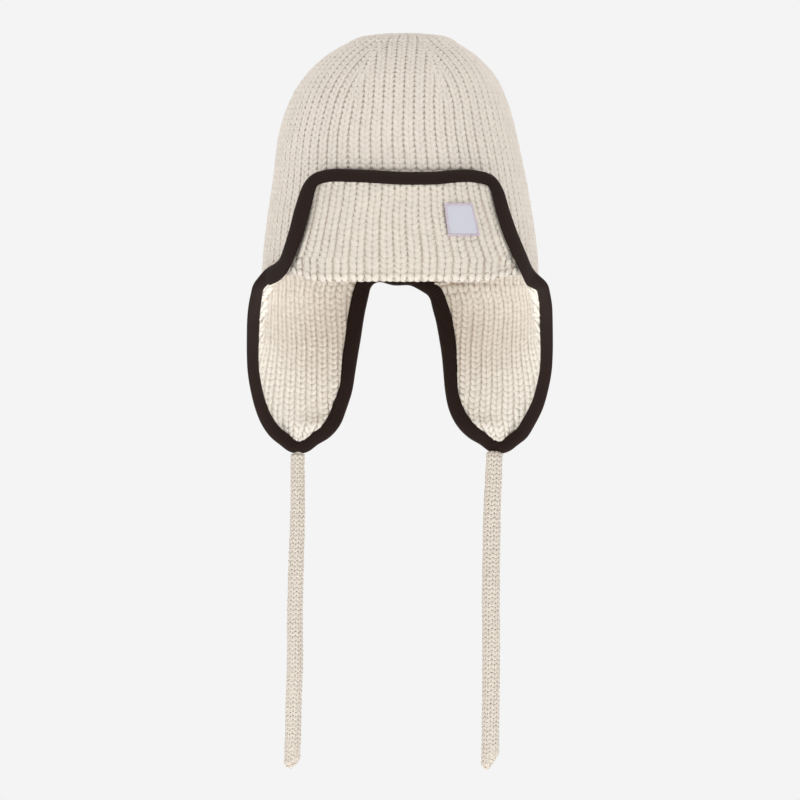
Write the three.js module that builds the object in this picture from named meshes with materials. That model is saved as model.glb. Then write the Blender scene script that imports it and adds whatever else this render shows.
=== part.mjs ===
import * as THREE from 'three';
import { mergeVertices } from 'three/addons/utils/BufferGeometryUtils.js';

// An earflap beanie in chunky rib knit: millimetres, +Z up, the face towards -Y.
// The origin is the middle of the head opening, level with the folded front edge.

// Driving sizes
const crownBreadth = 199.4; // outside, from side to side at the rim
const crownDepth = 208; // outside, from front to back at the rim
const crownHeight = 180; // above the folded front edge
const planSquareness = 2.35; // 2 is an ellipse, more is squarer
const rimLift = 6; // the crown's own rim stands this far above the folded edge
const ribCount = 72; // rib columns round the crown
const ribRelief = 1.4; // how far a rib stands out of the groove beside it
const knitWall = 3; // the cloth under the ribs, and the whole cloth at an edge
const flapRise = 81.4; // the turned-up front flap, with its binding
const earDrop = 122.4; // from the folded edge to the point of a flap
const earRibs = 12; // rib columns across one ear flap
const tipRound = 11; // radius of a flap's point, outside its binding
const bindingWidth = 9.8;
const bindingCloth = 1.2; // thickness of one arm of the binding
const tieWidth = 12;
const tieLength = 228.5;
const labelWidth = 22.5;
const labelHeight = 22;
const labelCloth = 0.8;
const gap = 0.3; // between pieces that touch on the real hat
const slack = 0.75; // between the cloth and each arm of the binding
const bindingBevel = 0.8; // how far the band's outer edge is rounded back

// Sizes that follow from those
const halfBreadth = crownBreadth / 2;
const halfDepth = crownDepth / 2;
const clothHalf = knitWall / 2;
const fullWall = knitWall + ribRelief;
const bindingGap = clothHalf + slack;
const bindingHalf = bindingGap + bindingCloth;
const edgeInset = bindingCloth + slack;
const flapStandOff = bindingHalf + gap * 2;
const foldMiddle = (flapStandOff - fullWall / 2) / 2;
const foldRadius = (flapStandOff + fullWall / 2) / 2;
const foldLevel = foldRadius + fullWall / 2;
const ribPitch = 1 / ribCount;

// The crown's outline: rise is a share of its height, spread a share of its breadth and depth at the rim,
// and drift a share of half its breadth by which it leans to the right.
const crownProfile = [
  { rise: 0, spread: 1, drift: 0.008 },
  { rise: 0.1, spread: 0.995, drift: 0.01 },
  { rise: 0.25, spread: 0.963, drift: 0.008 },
  { rise: 0.42, spread: 0.914, drift: 0.004 },
  { rise: 0.6, spread: 0.858, drift: -0.01 },
  { rise: 0.732, spread: 0.784, drift: -0.003 },
  { rise: 0.83, spread: 0.686, drift: 0.009 },
  { rise: 0.905, spread: 0.553, drift: 0.016 },
  { rise: 0.956, spread: 0.412, drift: 0.024 },
  { rise: 0.987, spread: 0.295, drift: 0.036 },
  { rise: 0.998, spread: 0.12, drift: 0.04 },
];

// The front flap's sides: rise is a share of its height, left and right shares of half the crown's breadth.
const flapSides = [
  { rise: 1, left: 0.52, right: 0.58 },
  { rise: 0.975, left: 0.62, right: 0.66 },
  { rise: 0.92, left: 0.672, right: 0.71 },
  { rise: 0.84, left: 0.7, right: 0.736 },
  { rise: 0.7, left: 0.732, right: 0.772 },
  { rise: 0.56, left: 0.76, right: 0.808 },
  { rise: 0.415, left: 0.794, right: 0.853 },
  { rise: 0.275, left: 0.83, right: 0.9 },
  { rise: 0.2, left: 0.856, right: 0.926 },
  { rise: 0.135, left: 0.94, right: 0.95 },
];

// The outer line of an ear flap's binding at its two edges. drop is a share of the flap's length; out and
// deep are shares of half the crown's breadth and depth; turn is the heading of the cloth at the edge, in
// degrees from straight across.
const earEdges = {
  front: [
    { drop: 0.01, out: 1.047, deep: -0.4, turn: 15 },
    { drop: 0.1, out: 1.076, deep: -0.27, turn: 22 },
    { drop: 0.195, out: 1.092, deep: -0.135, turn: 32 },
    { drop: 0.29, out: 1.094, deep: -0.03, turn: 42 },
    { drop: 0.385, out: 1.092, deep: 0.06, turn: 50 },
    { drop: 0.475, out: 1.089, deep: 0.13, turn: 54 },
    { drop: 0.57, out: 1.078, deep: 0.19, turn: 54 },
    { drop: 0.665, out: 1.055, deep: 0.245, turn: 52 },
    { drop: 0.76, out: 1.018, deep: 0.295, turn: 47 },
    { drop: 0.85, out: 0.958, deep: 0.345, turn: 40 },
    { drop: 0.925, out: 0.88, deep: 0.385, turn: 34 },
  ],
  back: [
    { drop: 0.01, out: 0.2, deep: 0.963, turn: 9 },
    { drop: 0.1, out: 0.228, deep: 0.95, turn: 9 },
    { drop: 0.195, out: 0.253, deep: 0.915, turn: 11 },
    { drop: 0.29, out: 0.268, deep: 0.87, turn: 14 },
    { drop: 0.385, out: 0.288, deep: 0.815, turn: 18 },
    { drop: 0.475, out: 0.305, deep: 0.76, turn: 22 },
    { drop: 0.57, out: 0.325, deep: 0.71, turn: 23 },
    { drop: 0.665, out: 0.345, deep: 0.665, turn: 23 },
    { drop: 0.76, out: 0.382, deep: 0.615, turn: 23 },
    { drop: 0.85, out: 0.448, deep: 0.56, turn: 23 },
    { drop: 0.925, out: 0.55, deep: 0.505, turn: 26 },
  ],
};

// Levels of an ear flap's cloth and of its binding, as shares of its length.
const earSteps = [0.01, 0.07, 0.14, 0.22, 0.31, 0.42, 0.53, 0.64, 0.745, 0.84, 0.925];
const tipTurns = [48, 24, 0, -24, -48]; // degrees round the point, from its front side to its back side
const tipOut = 0.725; // the point's place, as a share of half the crown's breadth
const hangDrop = 0.4; // the share of an ear flap's length over which the crown's oval lets go of it

// The nape's corner, where a flap's back edge turns into the hem: out is a share of half the crown's
// breadth, sink a share of the step from the hem down to the flap.
const napeCorner = [
  { out: 0.194, sink: 0.55 },
  { out: 0.17, sink: 0.14 },
  { out: 0.13, sink: 0 },
  { out: 0.066, sink: 0 },
];

// The label's middle, as a share of half the crown's breadth and of the flap's rise.
const labelPlace = { out: 0.455, rise: 0.565, lean: 2 };

// The middle line of each tie, from the flap's point to its bare end.
const tieRoutes = {
  left: [
    [-73.2, 45.9, -122.7], [-73.2, 45.9, -135], [-73.1, 46, -150], [-73.2, 46.2, -166],
    [-73.6, 46.4, -182], [-74.2, 46.6, -198], [-74.6, 46.8, -214], [-75, 47, -230],
    [-75.2, 47.1, -246], [-75.1, 47.2, -262], [-75.2, 47.2, -278], [-75.8, 47.1, -294],
    [-76.3, 47, -310], [-76.5, 46.9, -326], [-77, 46.8, -338], [-77.4, 46.7, -350],
  ],
  right: [
    [70, 45.9, -122.7], [69.7, 45.9, -135], [68.8, 46, -150], [67.8, 46.2, -166],
    [67.1, 46.4, -182], [66.6, 46.6, -198], [66.4, 46.8, -214], [66.3, 47, -230],
    [66.4, 47.1, -246], [66.5, 47.2, -262], [66.5, 47.2, -278], [66.4, 47.1, -294],
    [66.1, 47, -310], [66, 46.9, -326], [65.8, 46.8, -338], [65.5, 46.7, -351],
  ],
};

const radians = (degrees) => (degrees * Math.PI) / 180;
const mix = (a, b, share) => a + (b - a) * share;
const clamp = (value, low, high) => Math.min(high, Math.max(low, value));
const ease = (value) => {
  const t = clamp(value, 0, 1);
  return t * t * (3 - 2 * t);
};

// A smooth curve through one column of a table, read at a value of its key column.
function read(rows, key, column, at) {
  const sorted = rows[0][key] < rows[rows.length - 1][key] ? rows : [...rows].reverse();
  const x = sorted.map((row) => row[key]);
  const y = sorted.map((row) => row[column]);
  const last = x.length - 1;
  if (at <= x[0]) return y[0];
  if (at >= x[last]) return y[last];
  let i = 0;
  while (x[i + 1] < at) i += 1;
  const slope = (k) => {
    const a = Math.max(0, k - 1);
    const b = Math.min(last, k + 1);
    return (y[b] - y[a]) / (x[b] - x[a]);
  };
  const span = x[i + 1] - x[i];
  const t = (at - x[i]) / span;
  const steepest = (y[i + 1] - y[i]) / span;
  const calm = (m) => (m * steepest <= 0 ? 0 : Math.sign(m) * Math.min(Math.abs(m), 3 * Math.abs(steepest)));
  const m0 = calm(slope(i)) * span;
  const m1 = calm(slope(i + 1)) * span;
  const rest = 2 * t ** 3 - 3 * t ** 2;
  return (rest + 1) * y[i] + (t ** 3 - 2 * t ** 2 + t) * m0 - rest * y[i + 1] + (t ** 3 - t ** 2) * m1;
}

// The oval in plan. A share of its length, from the middle of the front towards +X, names a place on it.
const plan = (() => {
  const samples = 1440;
  const power = 2 / planSquareness;
  const spot = (angle) => {
    const across = Math.sin(angle);
    const along = Math.cos(angle);
    return [Math.sign(across) * Math.abs(across) ** power, -Math.sign(along) * Math.abs(along) ** power];
  };
  const lengths = [0];
  let before = spot(0);
  for (let i = 1; i <= samples; i += 1) {
    const next = spot((i / samples) * 2 * Math.PI);
    const step = Math.hypot((next[0] - before[0]) * halfBreadth, (next[1] - before[1]) * halfDepth);
    lengths.push(lengths[i - 1] + step);
    before = next;
  }
  const around = lengths[samples];
  const at = (share) => {
    const wanted = (share - Math.floor(share)) * around;
    let low = 0;
    let high = samples;
    while (high - low > 1) {
      const middle = (low + high) >> 1;
      if (lengths[middle] <= wanted) low = middle;
      else high = middle;
    }
    const within = (wanted - lengths[low]) / (lengths[high] - lengths[low]);
    const [x, y] = spot(((low + within) / samples) * 2 * Math.PI);
    const nx = (Math.sign(x) * Math.abs(x) ** (planSquareness - 1)) / halfBreadth;
    const ny = (Math.sign(y) * Math.abs(y) ** (planSquareness - 1)) / halfDepth;
    const size = Math.hypot(nx, ny);
    return { x: x * halfBreadth, y: y * halfDepth, nx: nx / size, ny: ny / size };
  };
  return { at, around };
})();

// The share of the oval, between two shares, where a falling measure of the place passes zero.
function shareWhere(measure, low, high) {
  let a = low;
  let b = high;
  for (let i = 0; i < 40; i += 1) {
    const middle = (a + b) / 2;
    if (measure(middle) > 0) a = middle;
    else b = middle;
  }
  return (a + b) / 2;
}

const crownTop = { ...crownProfile[crownProfile.length - 1], rise: 1, spread: 0 };
const profile = [...crownProfile, crownTop];
const spreadAt = (rise) => read(profile, 'rise', 'spread', clamp(rise, 0, 1));
const driftAt = (rise) => read(profile, 'rise', 'drift', clamp(rise, 0, 1)) * halfBreadth;

// A point of the crown's outline, moved out along its normal.
function crownPoint(share, rise, out) {
  const spot = plan.at(share);
  const spread = spreadAt(rise);
  const step = 0.004;
  const slope = (spreadAt(rise + step) - spreadAt(rise - step)) / (2 * step * crownHeight);
  const lean = -slope * (spot.x * spot.nx + spot.y * spot.ny);
  const size = Math.hypot(1, lean);
  return new THREE.Vector3(
    spot.x * spread + driftAt(rise) + (spot.nx * out) / size,
    spot.y * spread + (spot.ny * out) / size,
    crownHeight * rise + (lean * out) / size,
  );
}

// A point beside the crown's wall at height z, moved level out of it.
function besideCrown(share, z, out) {
  const spot = plan.at(share);
  const spread = spreadAt(z / crownHeight);
  const x = spot.x * spread + driftAt(z / crownHeight) + spot.nx * out;
  return new THREE.Vector3(x, spot.y * spread + spot.ny * out, z);
}

// The way that a cloth beside the crown's wall faces.
function outward(share, z) {
  const around = besideCrown(share + 0.002, z, 0).sub(besideCrown(share - 0.002, z, 0));
  const up = besideCrown(share, z + 1, 0).sub(besideCrown(share, z - 1, 0));
  return around.cross(up).normalize();
}

// 1 on a rib, 0 in the groove beside it.
const ribWave = (share) => 0.5 + 0.5 * Math.cos(2 * Math.PI * share * ribCount);

// A named body from its points and triangles, turned so that its faces point out.
function body(name, points, triangles, colour, roughness) {
  const bent = (a, b, c) => points[a].dot(new THREE.Vector3().crossVectors(points[b], points[c]));
  const volume = triangles.reduce((sum, [a, b, c]) => sum + bent(a, b, c), 0);
  const facing = volume > 0 ? triangles : triangles.map(([a, b, c]) => [a, c, b]);
  const geometry = new THREE.BufferGeometry().setFromPoints(points);
  geometry.setIndex(facing.flat());
  geometry.computeVertexNormals();
  const material = new THREE.MeshStandardMaterial({ color: colour, roughness, metalness: 0 });
  const mesh = new THREE.Mesh(geometry, material);
  mesh.name = name;
  return mesh;
}

const quad = (a, b, c, d) => [[a, b, c], [a, c, d]];

const cream = 0xe2d8ca;
const brown = 0x32251f;
const pale = 0xd8d8e2;

// The crown: ribs outside, plain inside, thinned to its bare cloth where the hem's binding takes it.
function crown() {
  const hem = (bindingWidth + 2 * slack) / crownHeight;
  const rim = rimLift / crownHeight;
  const outerRises = [rim, rim + hem, 0.25, 0.42, 0.6, 0.732, 0.83, 0.905, 0.956, 0.987, 0.998];
  const innerRises = [rim, rim + hem, 0.3, 0.56, 0.732, 0.87, 0.945, 0.98];
  const columns = ribCount * 2;
  const napeHalf = napeCorner[0].out * halfBreadth * 2;
  const ribsDeepBy = 1.6; // the grooves reach their full depth where the spread is one over this
  const points = [];
  const triangles = [];
  outerRises.forEach((rise, row) => {
    for (let i = 0; i < columns; i += 1) {
      const share = i / columns;
      const spot = plan.at(share);
      const bound = row < 2 && spot.y > 0 && Math.abs(spot.x) < napeHalf;
      const groove = bound ? 1 : (1 - ribWave(share)) * Math.min(1, spreadAt(rise) * ribsDeepBy);
      points.push(crownPoint(share, rise, -ribRelief * groove));
    }
  });
  const innerStart = points.length;
  innerRises.forEach((rise) => {
    for (let i = 0; i < ribCount; i += 1) points.push(crownPoint(i / ribCount, rise, -fullWall));
  });
  points.slice(innerStart, innerStart + ribCount).forEach((point) => point.setZ(rimLift));
  points.slice(0, columns).forEach((point) => point.setZ(rimLift));
  for (let row = 0; row + 1 < outerRises.length; row += 1) {
    for (let i = 0; i < columns; i += 1) {
      const a = row * columns + i;
      const b = row * columns + ((i + 1) % columns);
      triangles.push(...quad(a, b, b + columns, a + columns));
    }
  }
  for (let row = 0; row + 1 < innerRises.length; row += 1) {
    for (let i = 0; i < ribCount; i += 1) {
      const a = innerStart + row * ribCount + i;
      const b = innerStart + row * ribCount + ((i + 1) % ribCount);
      triangles.push(...quad(b, a, a + ribCount, b + ribCount));
    }
  }
  const outerPole = points.push(new THREE.Vector3(driftAt(1), 0, crownHeight)) - 1;
  const innerPole = points.push(new THREE.Vector3(driftAt(1), 0, crownHeight - fullWall)) - 1;
  const outerTop = (outerRises.length - 1) * columns;
  const innerTop = innerStart + (innerRises.length - 1) * ribCount;
  for (let i = 0; i < columns; i += 1) {
    triangles.push([outerTop + i, outerTop + ((i + 1) % columns), outerPole]);
  }
  for (let i = 0; i < ribCount; i += 1) {
    const next = (i + 1) % ribCount;
    const inner = innerStart + i;
    triangles.push([innerTop + next, innerTop + i, innerPole]);
    triangles.push([2 * i + 1, 2 * i, inner]);
    triangles.push([2 * i + 1, inner, innerStart + next]);
    triangles.push([(2 * i + 2) % columns, 2 * i + 1, innerStart + next]);
  }
  return body('crown', points, triangles, cream, 0.95);
}

// The turned-up front flap's outline: its height above the fold at a share of the oval.
const flapOutline = (() => {
  const side = (share) => (share < 0 ? 'left' : 'right');
  const lowest = flapSides[flapSides.length - 1].rise;
  const reach = (share, rise) => {
    const across = Math.abs(besideCrown(share, rise * flapRise, flapStandOff).x);
    return read(flapSides, 'rise', side(share), rise) * halfBreadth - across;
  };
  const end = (sign) => sign * shareWhere((share) => reach(sign * share, lowest), 0, 0.25);
  const height = (share) => {
    if (reach(share, 1) >= 0) return flapRise;
    return flapRise * shareWhere((rise) => reach(share, rise), lowest, 1);
  };
  const ends = { left: end(-1), right: end(1) };
  const step = ribPitch / 2;
  const spare = 0.35; // of a step, between a side's end and the first rib beside it
  const shares = [ends.left];
  for (let k = Math.ceil(ends.left / step + spare); k * step < ends.right - step * spare; k += 1) {
    shares.push(k * step);
  }
  shares.push(ends.right);
  const line = shares.map((share) => ({ share, run: share * plan.around, z: height(share) }));
  return { line, ends };
})();

// How far a place on the flap lies from its outline, in the plane of the cloth.
function flapInset(run, z) {
  const { line } = flapOutline;
  let least = Infinity;
  for (let i = 0; i + 1 < line.length; i += 1) {
    const dx = line[i + 1].run - line[i].run;
    const dz = line[i + 1].z - line[i].z;
    const t = clamp(((run - line[i].run) * dx + (z - line[i].z) * dz) / (dx * dx + dz * dz), 0, 1);
    least = Math.min(least, Math.hypot(run - line[i].run - t * dx, z - line[i].z - t * dz));
  }
  return least;
}

// The front flap: from under the crown's rim, round the fold and up in front of the crown.
function frontFlap() {
  const line = flapOutline.line.slice(1, -1);
  const folds = [225, 270, 315, 360]; // degrees round the fold, from under the rim to the front
  const upShares = [0.3, 0.62]; // of the way from the fold to the band
  const lowestBound = foldLevel + gap * 2;
  const ribFade = 3; // the ribs rise to their full height over this much beside the band
  const points = [];
  const triangles = [];
  line.forEach(({ share, run, z: top }, k) => {
    const before = line[Math.max(0, k - 1)];
    const after = line[Math.min(line.length - 1, k + 1)];
    const steepness = Math.hypot(1, (after.z - before.z) / (after.run - before.run));
    const high = Math.max(lowestBound + gap * 2, top - edgeInset * steepness);
    const bound = Math.max(lowestBound, high - (bindingWidth + slack - edgeInset));
    const middle = [[-fullWall / 2, rimLift - gap, Math.PI]];
    folds.forEach((angle) => {
      const turn = radians(angle);
      middle.push([foldMiddle + foldRadius * Math.cos(turn), foldLevel + foldRadius * Math.sin(turn), turn]);
    });
    upShares.forEach((up) => middle.push([flapStandOff, mix(foldLevel, bound, up), 2 * Math.PI]));
    middle.push([flapStandOff, bound, 2 * Math.PI], [flapStandOff, high, 2 * Math.PI]);
    for (const face of [1, -1]) {
      middle.forEach(([out, z, turn]) => {
        const raised = ribWave(share) * ease((flapInset(run, z) - bindingWidth - slack * 4) / ribFade);
        const half = face * (clothHalf + (ribRelief / 2) * raised);
        points.push(besideCrown(share, z + Math.sin(turn) * half, out + Math.cos(turn) * half));
      });
    }
  });
  const along = folds.length + upShares.length + 3;
  const ring = along * 2;
  const loop = (k) => [
    ...Array.from({ length: along }, (_, i) => k * ring + i),
    ...Array.from({ length: along }, (_, i) => k * ring + ring - 1 - i),
  ];
  for (let k = 0; k + 1 < line.length; k += 1) {
    const here = loop(k);
    const next = loop(k + 1);
    here.forEach((a, i) => {
      const j = (i + 1) % ring;
      triangles.push(...quad(a, here[j], next[j], next[i]));
    });
  }
  for (const [k, flip] of [[0, true], [line.length - 1, false]]) {
    const start = k * ring;
    for (let i = 0; i + 1 < along; i += 1) {
      const [a, b, c, d] = [start + i, start + i + 1, start + along + i + 1, start + along + i];
      triangles.push(...(flip ? quad(d, c, b, a) : quad(a, b, c, d)));
    }
  }
  return body('front_flap', points, triangles, cream, 0.95);
}

// One edge of an ear flap at a level: the binding's outer edge and the cloth's heading inwards from it.
function earEdge(side, drop, edge) {
  const out = read(earEdges[edge], 'drop', 'out', drop) * halfBreadth;
  const deep = read(earEdges[edge], 'drop', 'deep', drop) * halfDepth;
  const turn = radians(read(earEdges[edge], 'drop', 'turn', drop));
  return {
    point: new THREE.Vector3(side * out, deep, -drop * earDrop),
    across: new THREE.Vector3(-side * Math.cos(turn), Math.sin(turn), 0),
    face: new THREE.Vector3(-side * Math.sin(turn), -Math.cos(turn), 0),
  };
}

// The round point of an ear flap, between the front edge and the back edge of its last level.
function earTip(side, turn) {
  const last = earSteps[earSteps.length - 1];
  const front = earEdge(side, last, 'front');
  const back = earEdge(side, last, 'back');
  const out = tipOut * halfBreadth + tipRound * Math.sin(radians(turn));
  const share = (Math.abs(front.point.x) - out) / (Math.abs(front.point.x) - Math.abs(back.point.x));
  return {
    point: new THREE.Vector3(
      side * out,
      mix(front.point.y, back.point.y, share),
      tipRound - earDrop - tipRound * Math.cos(radians(turn)),
    ),
    across: front.across.clone().lerp(back.across, share).normalize(),
    face: front.face.clone().lerp(back.face, share).normalize(),
  };
}

const earTopShares = (side) => {
  const end = Math.abs(side < 0 ? flapOutline.ends.left : flapOutline.ends.right);
  const backOut = earEdges.back[0].out * halfBreadth;
  return {
    from: end + (gap + slack) / plan.around,
    to: shareWhere((share) => plan.at(share).x - backOut, 0.3, 0.5) - edgeInset / plan.around,
  };
};

// The binding's outer edge with the way it faces, from the middle of the front round one side to the nape.
function bindingHalfPath(side) {
  const stops = [];
  const { line } = flapOutline;
  const own = line.filter(({ share }) => side * share >= 0).sort((a, b) => side * (a.share - b.share));
  own.forEach(({ share, z }) => stops.push({
    point: besideCrown(share, z, flapStandOff),
    face: outward(share, z),
    foot: foldLevel + slack,
  }));
  const shoulder = stops[stops.length - 1];
  const edge = (drop, which) => {
    const place = `${side} ${which} ${drop}`;
    return { ...earEdge(side, drop, which), foot: -Infinity, place };
  };
  const front = earSteps.map((drop) => edge(drop, 'front'));
  front[0].narrow = true;
  const bend = new THREE.CatmullRomCurve3(
    [stops[stops.length - 2].point, shoulder.point, front[0].point, front[1].point],
    false,
    'centripetal',
  );
  const third = 1 / 3; // the curve's middle third runs from the flap to the ear flap
  [0.35, 0.8].forEach((share) => stops.push({
    point: bend.getPoint(third * (1 + share)),
    face: shoulder.face.clone().lerp(front[0].face, share).normalize(),
    foot: foldLevel + slack,
  }));
  stops.push(...front);
  tipTurns.forEach((turn) => {
    const place = `${side} tip ${turn}`;
    stops.push({ ...earTip(side, turn), foot: -Infinity, place });
  });
  stops.push(...[...earSteps].reverse().map((drop) => edge(drop, 'back')));
  const low = stops[stops.length - 1].point;
  const hem = rimLift - edgeInset;
  napeCorner.forEach(({ out, sink }) => {
    const share = side * shareWhere((at) => plan.at(at).x - out * halfBreadth, 0.3, 0.5);
    stops.push({
      point: besideCrown(share, mix(hem, low.z, sink), -ribRelief - clothHalf),
      face: outward(share, rimLift).negate(),
      foot: -Infinity,
    });
  });
  return stops;
}

// Every stop of the binding, with the direction into the cloth and the direction that it faces.
const bindingStops = (() => {
  const right = bindingHalfPath(1);
  const left = bindingHalfPath(-1).filter(({ point }) => point.x < -0.01);
  const nape = {
    point: besideCrown(0.5, rimLift - edgeInset, -ribRelief - clothHalf),
    face: outward(0.5, rimLift).negate(),
    foot: -Infinity,
  };
  const stops = [...right, nape, ...left.reverse()];
  return stops.map((stop, k) => {
    const { point, face, across } = stop;
    const before = stops[(k + stops.length - 1) % stops.length].point;
    const after = stops[(k + 1) % stops.length].point;
    const along = after.clone().sub(point).normalize().add(point.clone().sub(before).normalize()).normalize();
    const facing = across && Math.abs(across.dot(along)) < 0.8 ? across.clone().cross(along) : face.clone();
    const inward = along.clone().cross(facing.multiplyScalar(Math.sign(facing.dot(face)))).normalize();
    return { ...stop, inward, out: inward.clone().cross(along) };
  });
})();

// A sheet with thickness from rows of middle points. half(row, column) is half its thickness, and
// facing(row, column), where it gives a direction, is the way that the thickness goes.
function sheet(name, rows, half, colour, facing = () => null) {
  const across = rows[0].length;
  const points = [];
  const triangles = [];
  const get = (r, c) => rows[clamp(r, 0, rows.length - 1)][clamp(c, 0, across - 1)];
  for (const face of [1, -1]) {
    rows.forEach((row, r) => row.forEach((point, c) => {
      const along = get(r, c + 1).clone().sub(get(r, c - 1));
      const down = get(r + 1, c).clone().sub(get(r - 1, c));
      const normal = along.cross(down).normalize();
      const wanted = facing(r, c);
      const way = wanted ? wanted.clone().multiplyScalar(Math.sign(wanted.dot(normal))) : normal;
      points.push(point.clone().addScaledVector(way, face * half(r, c)));
    }));
  }
  const flat = rows.length * across;
  for (let r = 0; r + 1 < rows.length; r += 1) {
    for (let c = 0; c + 1 < across; c += 1) {
      const a = r * across + c;
      triangles.push(...quad(a, a + 1, a + across + 1, a + across));
      triangles.push(...quad(flat + a + across, flat + a + across + 1, flat + a + 1, flat + a));
    }
  }
  const rim = [];
  for (let c = 0; c + 1 < across; c += 1) rim.push(c);
  for (let r = 0; r + 1 < rows.length; r += 1) rim.push(r * across + across - 1);
  for (let c = across - 1; c > 0; c -= 1) rim.push((rows.length - 1) * across + c);
  for (let r = rows.length - 1; r > 0; r -= 1) rim.push(r * across);
  rim.forEach((a, i) => {
    const b = rim[(i + 1) % rim.length];
    triangles.push(...quad(a, flat + a, flat + b, b));
  });
  return body(name, points, triangles, colour, 0.95);
}

// One row of an ear flap's cloth, from its front edge to its back edge.
function earRow(side, front, back, drop) {
  const most = front.point.distanceTo(back.point) * 0.36; // so that both strips fit beside the point
  const strip = Math.min(bindingWidth + slack + clothHalf * 1.8, most);
  const into = (edge, depth) => edge.point.clone().addScaledVector(edge.inward, depth);
  const start = into(front, edgeInset);
  const end = into(back, edgeInset);
  const in0 = into(front, strip);
  const in1 = into(back, strip);
  const chord = in1.clone().sub(in0);
  const reach = chord.length() * 0.36; // a round bow's handle
  const chordTurn = Math.atan2(chord.y, -side * chord.x);
  const backTurn = Math.atan2(back.across.y, -side * back.across.x);
  const frontTurn = 2 * chordTurn - backTurn;
  const lead = new THREE.Vector3(-side * Math.cos(frontTurn), Math.sin(frontTurn), 0);
  const curve = new THREE.CubicBezierCurve3(
    in0,
    in0.clone().addScaledVector(lead, reach),
    in1.clone().addScaledVector(back.across, -reach),
    in1,
  );
  const tops = earTopShares(side);
  const hang = 1 - ease(drop / hangDrop);
  const steps = earRibs * 2;
  const pullPower = 4; // how soon the cloth beside a band leaves the band's line for its own
  const row = [start];
  const stripShare = strip / plan.around;
  const oval = (u) => {
    const share = side * mix(tops.from + stripShare, tops.to - stripShare, u);
    return besideCrown(share, 0, -ribRelief - clothHalf);
  };
  const pull0 = in0.clone().sub(oval(0).lerp(in0, 1 - hang));
  const pull1 = in1.clone().sub(oval(1).lerp(in1, 1 - hang));
  for (let i = 0; i <= steps; i += 1) {
    const u = i / steps;
    const point = oval(u).lerp(curve.getPoint(u), 1 - hang);
    point.addScaledVector(pull0, (1 - u) ** pullPower).addScaledVector(pull1, u ** pullPower);
    row.push(point.setZ(mix(in0.z, in1.z, u)));
  }
  row.push(end);
  return row;
}

function earFlap(name, side) {
  const tops = earTopShares(side);
  const steps = earRibs * 2;
  const strip = (bindingWidth + slack - edgeInset) / plan.around;
  const topShare = (c) => {
    if (c === 0) return side * tops.from;
    if (c === steps + 2) return side * tops.to;
    return side * mix(tops.from + strip, tops.to - strip, (c - 1) / steps);
  };
  const topShares = Array.from({ length: steps + 3 }, (_, c) => topShare(c));
  const rows = [topShares.map((share) => besideCrown(share, rimLift - gap, -ribRelief - clothHalf))];
  const stopAt = (place) => bindingStops.find((stop) => stop.place === `${side} ${place}`);
  const edges = earSteps.map((drop) => [stopAt(`front ${drop}`), stopAt(`back ${drop}`), drop]);
  edges.push([stopAt(`tip ${tipTurns[0]}`), stopAt(`tip ${tipTurns[4]}`), 1]);
  edges.forEach(([front, back, drop]) => rows.push(earRow(side, front, back, drop)));
  const half = (r, c) => {
    if (r === rows.length - 1 || (r < 2 && c < 2)) return clothHalf / 2;
    const lastRib = r < 3 ? steps - 3 : steps;
    const ribbed = c % 2 === 0 && c > 1 && c <= lastRib;
    return clothHalf + (ribbed ? ribRelief / 2 : 0);
  };
  const facing = (r, c) => {
    if (r === 0) return outward(topShares[c], rimLift).setZ(0).normalize();
    if (c < 2) return edges[r - 1][0].out;
    return c > steps ? edges[r - 1][1].out : null;
  };
  return sheet(name, rows, half, cream, facing);
}

// The binding: one band folded over every free edge, open towards the cloth that it takes in.
function binding() {
  const points = [];
  const triangles = [];
  const count = bindingStops.length;
  bindingStops.forEach(({ point, inward, out, foot, narrow }) => {
    const room = inward.z < 0 && !narrow ? (point.z - foot) / -inward.z : bindingWidth;
    const back = narrow ? edgeInset + slack : clamp(room, edgeInset + slack, bindingWidth);
    const section = [
      [bindingWidth, bindingHalf], [bindingBevel, bindingHalf], [0, 0], [bindingBevel, -bindingHalf],
      [back, -bindingHalf], [back, -bindingGap], [bindingCloth, -bindingGap], [bindingCloth, bindingGap],
      [bindingWidth, bindingGap],
    ];
    section.forEach(([deep, thick]) => {
      points.push(point.clone().addScaledVector(inward, deep).addScaledVector(out, thick));
    });
  });
  const ring = points.length / count;
  for (let k = 0; k < count; k += 1) {
    const next = (k + 1) % count;
    for (let i = 0; i < ring; i += 1) {
      const j = (i + 1) % ring;
      const corners = [k * ring + i, k * ring + j, next * ring + j, next * ring + i];
      // The two halves mirror each other, down to the diagonals of their faces.
      if (bindingStops[k].point.x > 0) corners.push(corners.shift());
      triangles.push(...quad(...corners));
    }
  }
  return body('binding', points, triangles, brown, 0.9);
}

function tieCord(name, route) {
  const sides = 10;
  const stepsPerWidth = 0.42;
  const section = new THREE.Shape(Array.from({ length: sides }, (_, i) => {
    const turn = ((i + 0.5) / sides) * 2 * Math.PI;
    return new THREE.Vector2(Math.cos(turn), Math.sin(turn)).multiplyScalar(tieWidth / 2);
  }));
  const path = new THREE.CatmullRomCurve3(route.map((spot) => new THREE.Vector3(...spot)));
  const steps = Math.round((tieLength / tieWidth) * stepsPerWidth);
  const tube = new THREE.ExtrudeGeometry(section, { steps, bevelEnabled: false, extrudePath: path });
  tube.deleteAttribute('normal');
  tube.deleteAttribute('uv');
  const merged = mergeVertices(tube, 1e-3);
  const spots = merged.getAttribute('position');
  const spotAt = (i) => new THREE.Vector3().fromBufferAttribute(spots, i);
  const points = Array.from({ length: spots.count }, (_, i) => spotAt(i));
  const index = Array.from(merged.index.array);
  const triangles = Array.from({ length: index.length / 3 }, (_, i) => index.slice(3 * i, 3 * i + 3));
  return body(name, points, triangles, cream, 0.95);
}

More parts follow.
